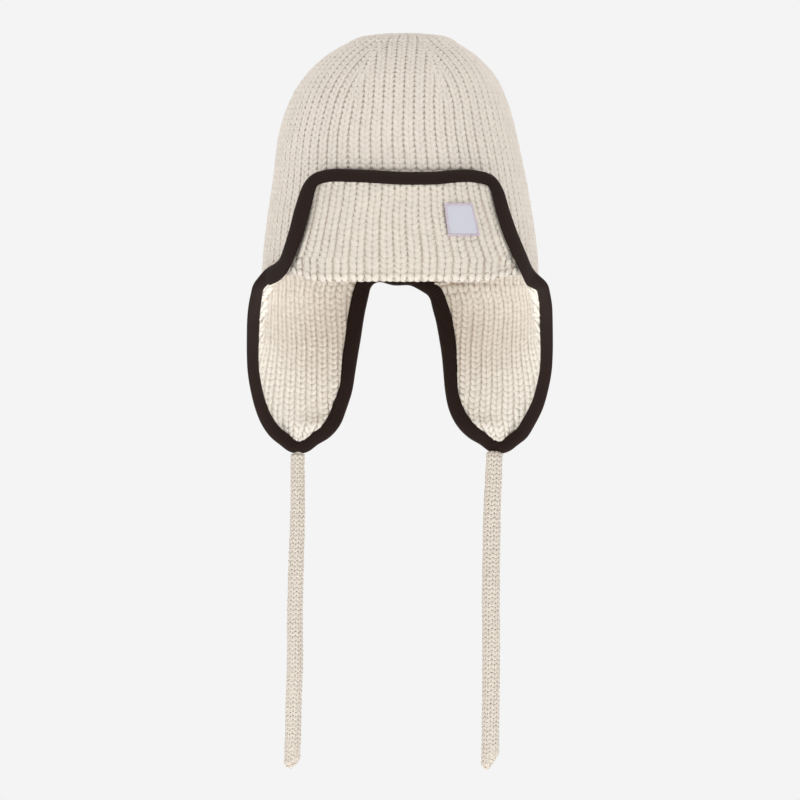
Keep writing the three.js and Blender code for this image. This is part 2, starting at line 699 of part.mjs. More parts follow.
// The label, kept bare, sewn flat on the ribs of the front flap.
function label() {
  const place = shareWhere((share) => labelPlace.out * halfBreadth - plan.at(share).x, 0, 0.25);
  const middle = labelPlace.rise * flapRise;
  const across = 4;
  const under = flapStandOff + fullWall / 2 + gap + labelCloth / 2;
  const rows = [1, 0, -1].map((up) => Array.from({ length: across + 1 }, (_, i) => {
    const run = (i / across - 0.5) * labelWidth - (up * labelPlace.lean) / 2;
    return besideCrown(place + run / plan.around, middle + (up * labelHeight) / 2, under);
  }));
  return sheet('label', rows, () => labelCloth / 2, pale);
}

const beanie = new THREE.Group();
beanie.add(
  crown(),
  frontFlap(),
  earFlap('ear_flap_left', -1),
  earFlap('ear_flap_right', 1),
  binding(),
  tieCord('tie_cord_left', tieRoutes.left),
  tieCord('tie_cord_right', tieRoutes.right),
  label(),
);

export default beanie;
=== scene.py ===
import math

import bpy
import numpy as np
from mathutils import Matrix, Vector


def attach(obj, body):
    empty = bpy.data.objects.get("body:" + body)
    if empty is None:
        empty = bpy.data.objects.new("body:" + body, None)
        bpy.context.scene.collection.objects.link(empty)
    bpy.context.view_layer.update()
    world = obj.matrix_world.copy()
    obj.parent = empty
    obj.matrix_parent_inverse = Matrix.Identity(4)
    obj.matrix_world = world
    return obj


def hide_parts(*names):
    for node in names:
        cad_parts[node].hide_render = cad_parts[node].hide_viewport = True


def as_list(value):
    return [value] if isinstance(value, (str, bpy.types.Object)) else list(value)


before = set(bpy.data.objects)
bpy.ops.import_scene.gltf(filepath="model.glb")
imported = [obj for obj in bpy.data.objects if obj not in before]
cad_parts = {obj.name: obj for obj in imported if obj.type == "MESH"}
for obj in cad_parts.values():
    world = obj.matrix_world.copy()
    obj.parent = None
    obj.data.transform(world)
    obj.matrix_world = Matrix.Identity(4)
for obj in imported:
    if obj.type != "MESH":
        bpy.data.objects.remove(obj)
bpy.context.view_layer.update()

# An earflap beanie in chunky rib knit, with a dark knitted binding and two knitted ties.
# Shapes are worked out in millimetres, in the CAD's frame, and turned to metres where a mesh is made.
mm = 0.001
photoScale = 0.72  # mm of the hat to one pixel of the 800-pixel photograph
rng = np.random.default_rng(7)


def srgb(code):  # an sRGB hex colour as the linear one that a shader wants
    parts = [int(code[i:i + 2], 16) / 255 for i in (1, 3, 5)]
    return tuple(c / 12.92 if c < 0.04045 else ((c + 0.055) / 1.055) ** 2.4 for c in parts) + (1.0,)


def addNode(tree, kind, settings=None, sockets=None):  # a node with its settings, values and links
    made = tree.nodes.new(kind)
    for key, value in (settings or {}).items():
        setattr(made, key, value)
    for key, value in (sockets or {}).items():
        if isinstance(value, bpy.types.NodeSocket):
            tree.links.new(value, made.inputs[key])
        else:
            made.inputs[key].default_value = value
    return made


# Camera: level with the middle of the picture, far off, as a long lens sees a product shot
view = {
    "distance": 16.0,
    "frameHeight": 800 * photoScale * mm,
    "middlePixel": (400, 400),
    "originPixel": (399, 283),  # where the CAD's origin shows
}
cameraData = bpy.data.cameras.new("camera")
camera = bpy.data.objects.new("camera", cameraData)
bpy.context.scene.collection.objects.link(camera)
cameraData.sensor_width = 36
cameraData.sensor_fit = "HORIZONTAL"
cameraData.lens = cameraData.sensor_width * view["distance"] / view["frameHeight"]
cameraData.clip_end = 60
camera.location = (
    (view["middlePixel"][0] - view["originPixel"][0]) * photoScale * mm,
    -view["distance"],
    (view["originPixel"][1] - view["middlePixel"][1]) * photoScale * mm,
)
camera.rotation_euler = (math.radians(90), 0, 0)
bpy.context.scene.camera = camera
print("camera ready")


# Reading tables, curves and surfaces
def readTable(table, key, column, at):  # a smooth curve through one column, that never overshoots
    order = np.argsort(table[key])
    x = np.array(table[key], float)[order]
    y = np.array(table[column], float)[order]
    low = np.maximum(np.arange(len(x)) - 1, 0)
    high = np.minimum(np.arange(len(x)) + 1, len(x) - 1)
    slope = (y[high] - y[low]) / (x[high] - x[low])
    at = np.clip(np.asarray(at, float), x[0], x[-1])
    i = np.clip(np.searchsorted(x, at, side="left") - 1, 0, len(x) - 2)
    span = x[i + 1] - x[i]
    t = (at - x[i]) / span
    steepest = (y[i + 1] - y[i]) / span
    calm = lambda m: np.where(m * steepest <= 0, 0, np.sign(m) * np.minimum(np.abs(m), 3 * np.abs(steepest)))
    m0, m1 = calm(slope[i]) * span, calm(slope[i + 1]) * span
    rest = 2 * t ** 3 - 3 * t ** 2
    return (rest + 1) * y[i] + (t ** 3 - 2 * t ** 2 + t) * m0 - rest * y[i + 1] + (t ** 3 - t ** 2) * m1


def unit(v):
    return v / np.maximum(np.linalg.norm(v, axis=-1, keepdims=True), 1e-12)


def ease(value):
    t = np.clip(value, 0, 1)
    return t * t * (3 - 2 * t)


def stack(x, y, z):
    return np.stack(np.broadcast_arrays(x, y, z), axis=-1).astype(float)


def splineThrough(points, closed=False):  # a smooth curve by run: at(run), length
    points = np.asarray(points, float)
    if closed:
        points = np.concatenate([points[-2:], points, points[:3]])
    steps = np.linalg.norm(np.diff(points[:, :3], axis=0), axis=1)
    run = np.concatenate([[0], np.cumsum(steps)])
    if closed:
        run -= run[2]
    slope = np.gradient(points, run, axis=0)

    def at(where):
        where = np.asarray(where, float)
        i = np.clip(np.searchsorted(run, where, side="right") - 1, 0, len(run) - 2)
        h = (run[i + 1] - run[i])[..., None]
        t = ((where - run[i])[..., None]) / h
        a, b = points[i], points[i + 1]
        m0, m1 = slope[i] * h, slope[i + 1] * h
        return ((2 * t ** 3 - 3 * t ** 2 + 1) * a + (t ** 3 - 2 * t ** 2 + t) * m0
                + (3 * t ** 2 - 2 * t ** 3) * b + (t ** 3 - t ** 2) * m1)

    return at, (run[-3] if closed else run[-1])


# Sizes that the pieces share, in mm
knit = {
    "wall": 3.0,  # the cloth under the ribs
    "relief": 1.4,  # how far a rib stands out of the groove beside it
    "gap": 0.3,
    "slack": 0.75,  # between the cloth and each arm of the binding
}
crownSizes = {
    "breadth": 199.4,
    "depth": 208.0,
    "height": 180.0,
    "squareness": 2.35,
    "rimLift": 6.0,
    "ribs": 72,
    "gores": 8,
    "rowPitch": 4.15,  # one row of stitches
    "ribLeg": (4.7, 6.8, 1.9),  # width, length and height of one leg of a stitch
    "grooveLeg": (2.9, 4.4, 1.6),
    "topPitch": 7.3,  # rib columns get no narrower than this; a gore loses columns instead
    "gatherFrom": 260.0,  # where the circle is this long, the ribs start to gather to the top's middle
}
crownProfile = {
    "rise": [0, 0.1, 0.25, 0.42, 0.6, 0.732, 0.83, 0.905, 0.956, 0.987, 0.998, 1],
    "spread": [1, 0.995, 0.963, 0.914, 0.858, 0.784, 0.686, 0.553, 0.412, 0.295, 0.12, 0],
    "drift": [0.008, 0.01, 0.008, 0.004, -0.01, -0.003, 0.009, 0.016, 0.024, 0.036, 0.04, 0.04],
}
napeSags = {  # how far the hem hangs below the rim's level at the back, by x
    "x": [-60, -24, -14, -4, 6, 10, 15, 19, 25, 34, 60],
    "sag": [0, 1.5, 2.6, 5.8, 4.8, 6.2, 9.0, 11.0, 9.5, 4.0, 0],
}
halfBreadth = crownSizes["breadth"] / 2
halfDepth = crownSizes["depth"] / 2
crownHeight = crownSizes["height"]
rimLift = crownSizes["rimLift"]
clothHalf = knit["wall"] / 2
fullWall = knit["wall"] + knit["relief"]


def makeOval(samples=1440):
    angle = np.linspace(0, 2 * math.pi, samples + 1)
    power = 2 / crownSizes["squareness"]
    x = np.sign(np.sin(angle)) * np.abs(np.sin(angle)) ** power
    y = -np.sign(np.cos(angle)) * np.abs(np.cos(angle)) ** power
    steps = np.hypot(np.diff(x) * halfBreadth, np.diff(y) * halfDepth)
    return angle, np.concatenate([[0], np.cumsum(steps)])


ovalAngles, ovalRuns = makeOval()
around = ovalRuns[-1]


def ovalAt(share):  # place and outward heading on the rim's oval; share 0 is the middle of the front
    angle = np.interp((np.asarray(share, float) % 1) * around, ovalRuns, ovalAngles)
    power = 2 / crownSizes["squareness"]
    x = np.sign(np.sin(angle)) * np.abs(np.sin(angle)) ** power
    y = -np.sign(np.cos(angle)) * np.abs(np.cos(angle)) ** power
    nx = np.sign(x) * np.abs(x) ** (crownSizes["squareness"] - 1) / halfBreadth
    ny = np.sign(y) * np.abs(y) ** (crownSizes["squareness"] - 1) / halfDepth
    size = np.hypot(nx, ny)
    return x * halfBreadth, y * halfDepth, nx / size, ny / size


def spreadAt(rise):
    return readTable(crownProfile, "rise", "spread", np.clip(rise, 0, 1))


def driftAt(rise):
    return readTable(crownProfile, "rise", "drift", np.clip(rise, 0, 1)) * halfBreadth


def napeSag(share):
    return readTable(napeSags, "x", "sag", (0.5 - np.asarray(share, float) % 1) * around)


def crownPoint(share, rise, out):
    x, y, nx, ny = ovalAt(share)
    step = 0.004
    spread = spreadAt(rise)
    slope = (spreadAt(rise + step) - spreadAt(rise - step)) / (2 * step * crownHeight)
    lean = -slope * (x * nx + y * ny)
    size = np.hypot(1, lean)
    return stack(
        x * spread + driftAt(rise) + nx * out / size,
        y * spread + ny * out / size,
        crownHeight * rise + lean * out / size - napeSag(share) * ease(1 - rise / 0.25),
    )


def besideCrown(share, z, out):
    x, y, nx, ny = ovalAt(share)
    spread = spreadAt(z / crownHeight)
    return stack(x * spread + driftAt(z / crownHeight) + nx * out, y * spread + ny * out, z)


def outward(share, z):
    alongOval = besideCrown(share + 0.002, z, 0) - besideCrown(share - 0.002, z, 0)
    up = besideCrown(share, z + 1, 0) - besideCrown(share, z - 1, 0)
    return unit(np.cross(alongOval, up))


def shareWhere(measure, low, high):  # where a falling measure of the place passes zero
    for _ in range(40):
        middle = (low + high) / 2
        low, high = (middle, high) if measure(middle) > 0 else (low, middle)
    return (low + high) / 2


# Meshes
def newObject(name, points, faces, smooth=True):
    mesh = bpy.data.meshes.new(name)
    mesh.from_pydata((np.asarray(points) * mm).tolist(), [], [tuple(f) for f in faces])
    mesh.update()
    if smooth:
        mesh.polygons.foreach_set("use_smooth", [True] * len(mesh.polygons))
    made = bpy.data.objects.new(name, mesh)
    bpy.context.scene.collection.objects.link(made)
    return made


def turnOut(obj):  # faces outwards, by the sign of the closed body's volume
    mesh = obj.data
    mesh.calc_loop_triangles()
    spots = np.empty(len(mesh.vertices) * 3)
    mesh.vertices.foreach_get("co", spots)
    spots = spots.reshape(-1, 3)
    corners = np.empty(len(mesh.loop_triangles) * 3, int)
    mesh.loop_triangles.foreach_get("vertices", corners)
    a, b, c = spots[corners.reshape(-1, 3)].transpose(1, 0, 2)
    if np.einsum("ij,ij->i", a, np.cross(b, c)).sum() < 0:
        mesh.flip_normals()
    return obj


def setAttribute(obj, name, values, kind="FLOAT"):
    made = obj.data.attributes.new(name, kind, "POINT")
    made.data.foreach_set("vector" if kind == "FLOAT_VECTOR" else "value", np.asarray(values, float).ravel())


def gridFaces(rows, columns, start=0, closed=False, flip=False):
    faces = []
    for r in range(rows - 1):
        for c in range(columns if closed else columns - 1):
            d = (c + 1) % columns
            quad = [start + r * columns + c, start + r * columns + d,
                    start + (r + 1) * columns + d, start + (r + 1) * columns + c]
            faces.append(quad[::-1] if flip else quad)
    return faces


def wallFrom(name, front, back):  # a closed wall between two grids of points with the same rows and columns
    rows, columns = front.shape[:2]
    flat = rows * columns
    faces = gridFaces(rows, columns) + gridFaces(rows, columns, flat, flip=True)
    rim = list(range(columns)) + [r * columns + columns - 1 for r in range(1, rows)]
    rim += [(rows - 1) * columns + c for c in range(columns - 2, -1, -1)]
    rim += [r * columns for r in range(rows - 2, 0, -1)]
    for a, b in zip(rim, rim[1:] + rim[:1]):
        faces.append([b, a, a + flat, b + flat])
    return turnOut(newObject(name, np.concatenate([front.reshape(-1, 3), back.reshape(-1, 3)]), faces))


# Stitches: one leg of a knit stitch, set out on a surface by Geometry Nodes
unevenness = {  # how unevenly hands knit: the spread of the stitches' heights in mm, leans in radians, tones and sizes
    "lift": 0.08,
    "lean": 0.05,
    "tone": 0.13,
    "size": 0.05,
}


def legMesh(name, around, rings, dip):
    # A drop of yarn, 1 long, 1 wide and 1 high; its ends dip under the legs above and below it.
    points, crest, uvs = [(0, -0.5, -dip)], [0.0], [(0.5, 0)]
    for i in range(rings):
        t = (i + 1) / (rings + 1)
        y = -0.5 * math.cos(math.pi * t)
        size = math.sin(math.pi * t) ** 0.62 * (1 + 0.16 * (t - 0.5))
        for j in range(around):
            turn = 2 * math.pi * (j + 0.5) / around
            height = size * math.sin(turn)
            points.append((0.5 * size * math.cos(turn), y, 0.5 * height - dip * (2 * abs(y)) ** 2))
            # crest: how high on the leg's top side a point lies; the yarn material paints shade where it is low
            crest.append(max(0.0, height) * size)
            uvs.append((j / around, t))
    points.append((0, 0.5, -dip))
    crest.append(0.0)
    uvs.append((0.5, 1))
    last, top = len(points) - 1, 1 + (rings - 1) * around
    faces = [(0, 1 + (j + 1) % around, 1 + j) for j in range(around)]
    faces += gridFaces(rings, around, 1, closed=True)
    faces += [(last, top + j, top + (j + 1) % around) for j in range(around)]
    made = turnOut(newObject(name, np.array(points) / mm, faces))
    setAttribute(made, "crest", crest)
    layer = made.data.uv_layers.new(name="yarn")
    for loop in made.data.loops:
        layer.data[loop.index].uv = uvs[loop.vertex_index]
    bpy.context.scene.collection.objects.unlink(made)
    made.hide_render = True
    return made


def stitchTree():
    tree = bpy.data.node_groups.new("stitches on points", "GeometryNodeTree")
    for label, kind in (("Geometry", "Geometry"), ("Stitch", "Object"), ("Width", "Float"), ("Length", "Float"),
                        ("Height", "Float"), ("Size Spread", "Float"), ("Seed", "Int"), ("Yarn", "Material")):
        tree.interface.new_socket(label, in_out="INPUT", socket_type="NodeSocket" + kind)
    tree.interface.new_socket("Geometry", in_out="OUTPUT", socket_type="NodeSocketGeometry")
    given = addNode(tree, "NodeGroupInput").outputs
    turn, size = [addNode(tree, "GeometryNodeInputNamedAttribute", {"data_type": "FLOAT_VECTOR"},
                          {"Name": name}).outputs["Attribute"] for name in ("turn", "size")]
    rotation = addNode(tree, "FunctionNodeEulerToRotation", None, {"Euler": turn})
    sizes = addNode(tree, "ShaderNodeCombineXYZ", None,
                    {"X": given["Width"], "Y": given["Length"], "Z": given["Height"]})
    least, most = [addNode(tree, "ShaderNodeMath", {"operation": way}, {0: 1.0, 1: given["Size Spread"]}).outputs[0]
                   for way in ("SUBTRACT", "ADD")]
    random = addNode(tree, "FunctionNodeRandomValue", {"data_type": "FLOAT"},
                     {2: least, 3: most, "Seed": given["Seed"]})
    own = addNode(tree, "ShaderNodeVectorMath", {"operation": "MULTIPLY"}, {0: sizes.outputs[0], 1: size})
    varied = addNode(tree, "ShaderNodeVectorMath", {"operation": "SCALE"},
                     {0: own.outputs[0], "Scale": random.outputs[1]})
    stitch = addNode(tree, "GeometryNodeObjectInfo", None, {"Object": given["Stitch"]})
    placed = addNode(tree, "GeometryNodeInstanceOnPoints", None, {
        "Points": given["Geometry"],
        "Instance": stitch.outputs["Geometry"],
        "Rotation": rotation.outputs[0],
        "Scale": varied.outputs[0],
    })
    real = addNode(tree, "GeometryNodeRealizeInstances", None, {"Geometry": placed.outputs["Instances"]})
    dyed = addNode(tree, "GeometryNodeSetMaterial", None,
                   {"Geometry": real.outputs["Geometry"], "Material": given["Yarn"]})
    addNode(tree, "NodeGroupOutput", None, {0: dyed.outputs[0]})
    return tree


stitchesOnPoints = stitchTree()
vLeg = legMesh("v stitch leg", around=6, rings=4, dip=0.14)
purlLeg = legMesh("purl bump", around=5, rings=3, dip=0.3)


def growStitches(name, spots, leg, legSize, yarn, seed):
    # spots: place, turn (x, y, z angles), size (shares of the leg's), tone and deep of each leg (deep: how far its
    # colour goes towards the painted groove shade); legSize in mm
    points = newObject(name, spots["place"], [], smooth=False)
    for key, kind in (("turn", "FLOAT_VECTOR"), ("size", "FLOAT_VECTOR"), ("tone", "FLOAT"), ("deep", "FLOAT")):
        setAttribute(points, key, spots[key], kind)
    modifier = points.modifiers.new("stitches", "NODES")
    modifier.node_group = stitchesOnPoints
    width, length, height = legSize
    values = {"Stitch": leg, "Width": width * mm, "Length": length * mm, "Height": height * mm,
              "Size Spread": unevenness["size"], "Seed": seed, "Yarn": yarn}
    for item in stitchesOnPoints.interface.items_tree:
        if item.name in values and item.in_out == "INPUT":
            modifier[item.identifier] = values[item.name]
    points.update_tag()
    bpy.context.view_layer.update()
    depsgraph = bpy.context.evaluated_depsgraph_get()
    mesh = bpy.data.meshes.new_from_object(points.evaluated_get(depsgraph), depsgraph=depsgraph)
    points.modifiers.remove(modifier)
    old = points.data
    points.data = mesh
    mesh.name = name
    bpy.data.meshes.remove(old)
    print(name, len(mesh.polygons), "faces")
    return dress(points, yarn)


def legsOn(surface, u, v, tilt, sideStep, lift, size=(1, 1, 1), deep=0.0, uStep=0.5, vStep=0.5, fit=False):
    # Legs on surface(u, v, out): u and v run in mm across and up the cloth; tilt leans a leg to one side.
    # With fit, a leg is as much wider or narrower as the cloth is stretched there.
    u, v = np.asarray(u, float) + sideStep, np.asarray(v, float)
    count = len(u)
    spread = lambda value: np.broadcast_to(np.asarray(value, float), (count,))
    lift = spread(lift) + rng.normal(0, unevenness["lift"], count)
    place = surface(u, v, lift)
    across = surface(u + uStep, v, lift) - surface(u - uStep, v, lift)
    stretch = np.linalg.norm(across, axis=1) / (2 * uStep)
    across = unit(across)
    up = surface(u, v + vStep, lift) - surface(u, v - vStep, lift)
    facing = unit(np.cross(across, up))
    up = np.cross(facing, across)
    angle = spread(np.radians(tilt)) + rng.normal(0, unevenness["lean"], count)
    legUp = up * np.cos(angle)[:, None] + across * np.sin(angle)[:, None]
    legSide = np.cross(legUp, facing)
    axes = np.stack([legSide, legUp, facing], axis=2)
    sizes = np.broadcast_to(np.asarray(size, float), (count, 3)).copy()
    if fit:
        sizes[:, 0] *= np.clip(stretch, 0.7, 1.5)
    return {"place": place, "turn": np.array([Matrix(m.tolist()).to_euler("XYZ")[:] for m in axes]), "size": sizes,
            "tone": np.clip(rng.normal(0.5, unevenness["tone"], count), 0, 1), "deep": spread(deep)}


def patchy(u, v, seed, size=38.0):  # slow, soft variation from 0 to 1, in patches of about that size in mm
    turns = np.random.default_rng(seed).uniform(0, 2 * math.pi, (5, 2))
    total = np.zeros(np.broadcast(u, v).shape)
    for heading, phase in turns:
        total = total + np.sin((u * math.cos(heading) + v * math.sin(heading)) * 2 * math.pi / size + phase)
    return np.clip(0.5 + total / 5, 0, 1)


def wander(u, v, seed):  # hand and steam leave no rib quite straight
    return (patchy(u * 0.4, v, seed, 46.0) - 0.5) * 1.3


def joinSpots(groups):
    return {key: np.concatenate([g[key] for g in groups]) for key in groups[0]}


# Materials, each from a few kinds of node
def newMaterial(name):  # the material, its tree, and where the object's own coordinates come out
    made = bpy.data.materials.new(name)
    made.use_nodes = True
    made.node_tree.nodes.clear()
    return made, made.node_tree, addNode(made.node_tree, "ShaderNodeTexCoord").outputs["Object"]


def attributeNode(tree, name):
    return addNode(tree, "ShaderNodeAttribute", {"attribute_name": name}).outputs["Fac"]


def mixNode(tree, factor, low, high):
    return addNode(tree, "ShaderNodeMix", {"data_type": "RGBA"},
                   {"Factor": factor, "A": low, "B": high}).outputs["Result"]


def noiseNode(tree, coords, scale, detail, roughness=0.5):
    return addNode(tree, "ShaderNodeTexNoise", None,
                   {"Vector": coords, "Scale": scale, "Detail": detail, "Roughness": roughness}).outputs["Fac"]


def sumNode(tree, a, b):
    return addNode(tree, "ShaderNodeMath", {"operation": "ADD"}, {0: a, 1: b}).outputs[0]


def rangeNode(tree, value, low, high, toLow, toHigh):
    return addNode(tree, "ShaderNodeMapRange", None, {"Value": value, "From Min": low, "From Max": high,
                                                      "To Min": toLow, "To Max": toHigh}).outputs[0]


def varyNode(tree, colour, value):
    return addNode(tree, "ShaderNodeHueSaturation", None, {"Value": value, "Color": colour}).outputs["Color"]


def wearCloth(made, colour, height, strength, distance, roughness, sheen):  # matt and slightly hairy
    tree = made.node_tree
    bump = addNode(tree, "ShaderNodeBump", None, {"Height": height, "Strength": strength, "Distance": distance})
    shader = addNode(tree, "ShaderNodeBsdfPrincipled", None, {
        "Base Color": colour,
        "Roughness": roughness,
        "Specular IOR Level": 0.2,
        "Sheen Weight": sheen,
        "Sheen Roughness": 0.5,
        "Normal": bump.outputs[0],
    })
    addNode(tree, "ShaderNodeOutputMaterial", None, {"Surface": shader.outputs[0]})
    return made


def yarnMaterial(name, light, shaded, groove, bumpHeight=0.00012):
    # Soft acrylic and wool yarn, spun from a few plies, with painted shade where light doesn't reach: darker low on
    # each leg's sides and in the sunk groove legs.
    made, tree, coords = newMaterial(name)
    # painted shade: from the shaded colour low on a leg to the light colour on its crest
    crest = rangeNode(tree, attributeNode(tree, "crest"), 0, 0.7, 0, 1)
    body = mixNode(tree, crest, srgb(shaded), srgb(light))
    # painted shade: legs sunk in the grooves, by their deep attribute, are mixed towards the darker groove colour
    sunk = mixNode(tree, attributeNode(tree, "deep"), body, srgb(groove))
    lift = sumNode(tree, attributeNode(tree, "tone"), noiseNode(tree, coords, 60, 3))
    varied = varyNode(tree, sunk, rangeNode(tree, lift, 0.4, 1.6, 0.94, 1.05))
    # the plies run slantwise round the yarn, about 0.7 mm apart
    slant = addNode(tree, "ShaderNodeMapping", None, {
        "Vector": addNode(tree, "ShaderNodeUVMap", {"uv_map": "yarn"}).outputs[0],
        "Rotation": (0, 0, math.radians(38)),
        "Scale": (2.2, 3.4, 1),
    })
    plies = addNode(tree, "ShaderNodeTexWave", {"wave_type": "BANDS", "bands_direction": "X"},
                    {"Vector": slant.outputs[0], "Scale": 1.0, "Distortion": 1.2, "Detail": 2.0})
    height = sumNode(tree, plies.outputs["Fac"], noiseNode(tree, coords, 2600, 4, 0.7))
    return wearCloth(made, varied, height, 0.55, bumpHeight, roughness=0.92, sheen=0.25)


def clothMaterial(name, light, shadeColour, pitch, bumpHeight=0.0003):
    # The knitted ground between the stitches: the same yarn, with painted shade in the dips between its row loops.
    made, tree, coords = newMaterial(name)
    loops = addNode(tree, "ShaderNodeTexWave", {"wave_type": "BANDS", "bands_direction": "Z"},
                    {"Vector": coords, "Scale": 0.314 / (pitch * mm), "Distortion": 3.0, "Detail": 2.0,
                     "Detail Scale": 8.0}).outputs["Fac"]
    height = addNode(tree, "ShaderNodeMath", {"operation": "MULTIPLY_ADD"},
                     {0: noiseNode(tree, coords, 900, 5, 0.7), 1: 0.5, 2: loops}).outputs[0]
    # painted shade: darker in the dips between the loops
    colour = mixNode(tree, loops, srgb(shadeColour), srgb(light))
    return wearCloth(made, colour, height, 0.7, bumpHeight, roughness=0.95, sheen=0.2)


def ribMaterial(name, light, shadeColour):
    # Fine cotton rib, knitted as a tape: nearly black brown, matt, with painted light on each ridge's top and painted
    # shade between the ridges.
    made, tree, coords = newMaterial(name)
    hair = noiseNode(tree, coords, 2200, 4, 0.65)
    # painted light and shade: lighter on the ridges' tops, darker between them
    colour = mixNode(tree, attributeNode(tree, "crest"), srgb(shadeColour), srgb(light))
    varied = varyNode(tree, colour, rangeNode(tree, hair, 0, 1, 0.75, 1.25))
    return wearCloth(made, varied, hair, 0.6, 0.0001, roughness=0.9, sheen=0.04)


# each yarn's colours: on a leg's crest, its painted shade low on a leg, and its painted shade in a sunk groove leg
crownYarn = yarnMaterial("cream wool blend yarn", "#EBE1D6", "#E3D8CB", "#D6C7B7")
# the front flap's copy of the cream yarn is painted darker, against the stronger light on the flap
flapYarnPaintedDarker = yarnMaterial("cream wool blend yarn painted darker in the front flap", "#E7DED1", "#DFD5C8", "#D2C4B5")
# the ear flaps' inside copy of the cream yarn is painted lighter, against the shade inside the ear flaps
earYarnPaintedLighter = yarnMaterial("cream wool blend yarn painted lighter inside the ear flaps", "#FAF3E8", "#F3EBDF", "#E5D9CB")
# the ties' copy of the cream yarn is painted lighter, with weaker painted shade, against the shade on the hanging ties
tieYarnPaintedLighter = yarnMaterial("cream wool blend yarn painted lighter in the ties", "#EDE4D8", "#E7DDD0", "#DCCFC0")
# the ground between the stitches is painted darker than the yarn, as the shade down between them
groundClothPaintedShade = clothMaterial("cream wool blend knit ground in painted shade", "#E3D7CA", "#D8CABB", crownSizes["rowPitch"])
# the lighter colour is painted light on the ridges' tops, the darker is painted shade between them
bandCloth = ribMaterial("dark brown cotton rib", "#33221C", "#180F0C")


def dress(obj, material, replaced=None):
    obj.data.materials.clear()
    obj.data.materials.append(material)
    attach(obj, "root")
    if replaced:
        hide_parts(replaced)
    return obj


# Ties first, with the camera: plain i-cord, each with its real length hanging from an ear flap's point
tieSizes = {
    "columns": 8,
    "rowPitch": 3.2,
    "twist": 0.5,  # radians over the whole length
    "legSize": (2.7, 4.4, 1.9),
    "legLean": 24,
    "legDepth": 1.1,  # from the legs' middles to the cord's outline
    "sides": 20,
    "startRound": 2.5,
    "endRound": 4.2,
    "endSlants": {"left": 4.4, "right": 9.0},  # how much shorter its right edge is
    "slantRun": 16,
}
tieRoutes = {
    "z": [-121.2, -134, -150, -166, -182, -198, -214, -230, -246, -262, -278, -294, -310, -326, -338, -350],
    "y": [45.9, 45.9, 46, 46.2, 46.4, 46.6, 46.8, 47, 47.1, 47.2, 47.2, 47.1, 47, 46.9, 46.8, 46.7],
    "left": [-73.2, -73.2, -73.1, -73.2, -73.6, -74.2, -74.6, -75, -75.2, -75.1, -75.2, -75.8, -76.3, -76.5, -77,
             -77.4],
    "right": [69, 68.5, 67.8, 67.1, 66.8, 66.6, 66.4, 66.3, 66.4, 66.5, 66.5, 66.4, 66.1, 66, 65.8, 65.5],
    "longer": {"left": 0, "right": 1},  # how much lower than the last z it ends
}
tieRadii = {
    "run": [0, 0.12, 0.45, 0.75, 1],
    "left": [5.2, 5.4, 5.8, 6.0, 6.0],
    "right": [6.0, 6.4, 6.6, 6.5, 6.5],
}


def makeTie(name, side, seed):
    route = stack(tieRoutes[side], tieRoutes["y"], tieRoutes["z"])
    route[-1, 2] -= tieRoutes["longer"][side]
    path, length = splineThrough(route)
    endRound, endSlant = tieSizes["endRound"], tieSizes["endSlants"][side]
    cutAt = lambda across: np.clip((across / 5 + 0.3) / 1.3, 0, 1)

    def radiusAt(run):
        full = readTable(tieRadii, "run", side, np.clip(run / length, 0, 1))
        end = np.clip((run - (length - endRound)) / endRound, 0, 0.999)
        start = np.clip(1 - run / tieSizes["startRound"], 0, 0.75)
        return full * np.sqrt((1 - end ** 2) * (1 - start ** 2))

    def surface(u, v, out):  # u is the angle round the cord, v the run along it from its end up
        run = length - v
        radius = radiusAt(run) - tieSizes["legDepth"]
        along = unit(path(np.clip(run + 1, 0, length)) - path(np.clip(run - 1, 0, length)))
        side0 = unit(np.cross(along, np.broadcast_to([0.0, 1.0, 0.0], along.shape)))
        side1 = np.cross(along, side0)
        turn = u + tieSizes["twist"] * run / length
        ray = side0 * np.cos(turn)[..., None] + side1 * np.sin(turn)[..., None]
        cut = cutAt(ray[..., 0] * radius) * ease((run - length) / tieSizes["slantRun"] + 1)
        middle = path(np.clip(run - cut * endSlant, 0, length))
        return middle + ray * (radius + out)[..., None]

    sides = tieSizes["sides"]
    rounding = length - endRound + endRound * np.sin(np.radians([0, 25, 50, 70, 83]))
    runs = np.concatenate([[0], np.arange(2.5, length - 6, 4.0), rounding])
    angles = np.linspace(0, 2 * math.pi, sides, endpoint=False)
    core = np.concatenate([surface(angles, np.full(sides, length - run), np.full(sides, -0.2)) for run in runs])
    ends = path(np.array([0.0, length - 0.6 - float(cutAt(0)) * endSlant]))
    last = (len(runs) - 1) * sides
    faces = gridFaces(len(runs), sides, closed=True)
    faces += [[c, (c + 1) % sides, len(core)] for c in range(sides)]
    faces += [[last + (c + 1) % sides, last + c, len(core) + 1] for c in range(sides)]
    cord = turnOut(newObject(name, np.concatenate([core, ends]), faces))
    setAttribute(cord, "crest", np.zeros(len(core) + 2))
    dress(cord, groundClothPaintedShade, "tie_cord_" + side)

    rows = np.arange(0.9, length - 0.8, tieSizes["rowPitch"])
    columns = np.arange(tieSizes["columns"]) * 2 * math.pi / tieSizes["columns"]
    u, v = [a.ravel() for a in np.meshgrid(columns, rows)]
    half = math.pi / tieSizes["columns"] * 0.5
    shrink = np.clip(radiusAt(length - v) / 5.2, 0.35, 1.2)
    groups = [legsOn(surface, u, v, way * tieSizes["legLean"], way * half, 0.0, size=stack(shrink, 1, 1), uStep=0.05)
              for way in (-1, 1)]
    stitches = growStitches(name + "_stitches", joinSpots(groups), purlLeg, tieSizes["legSize"], tieYarnPaintedLighter, seed)
    centres = path(np.linspace(0, length, 40)) * mm
    tuple(centres[0])


makeTie("left_tie", "left", 11)
makeTie("right_tie", "right", 12)
print("ties ready")


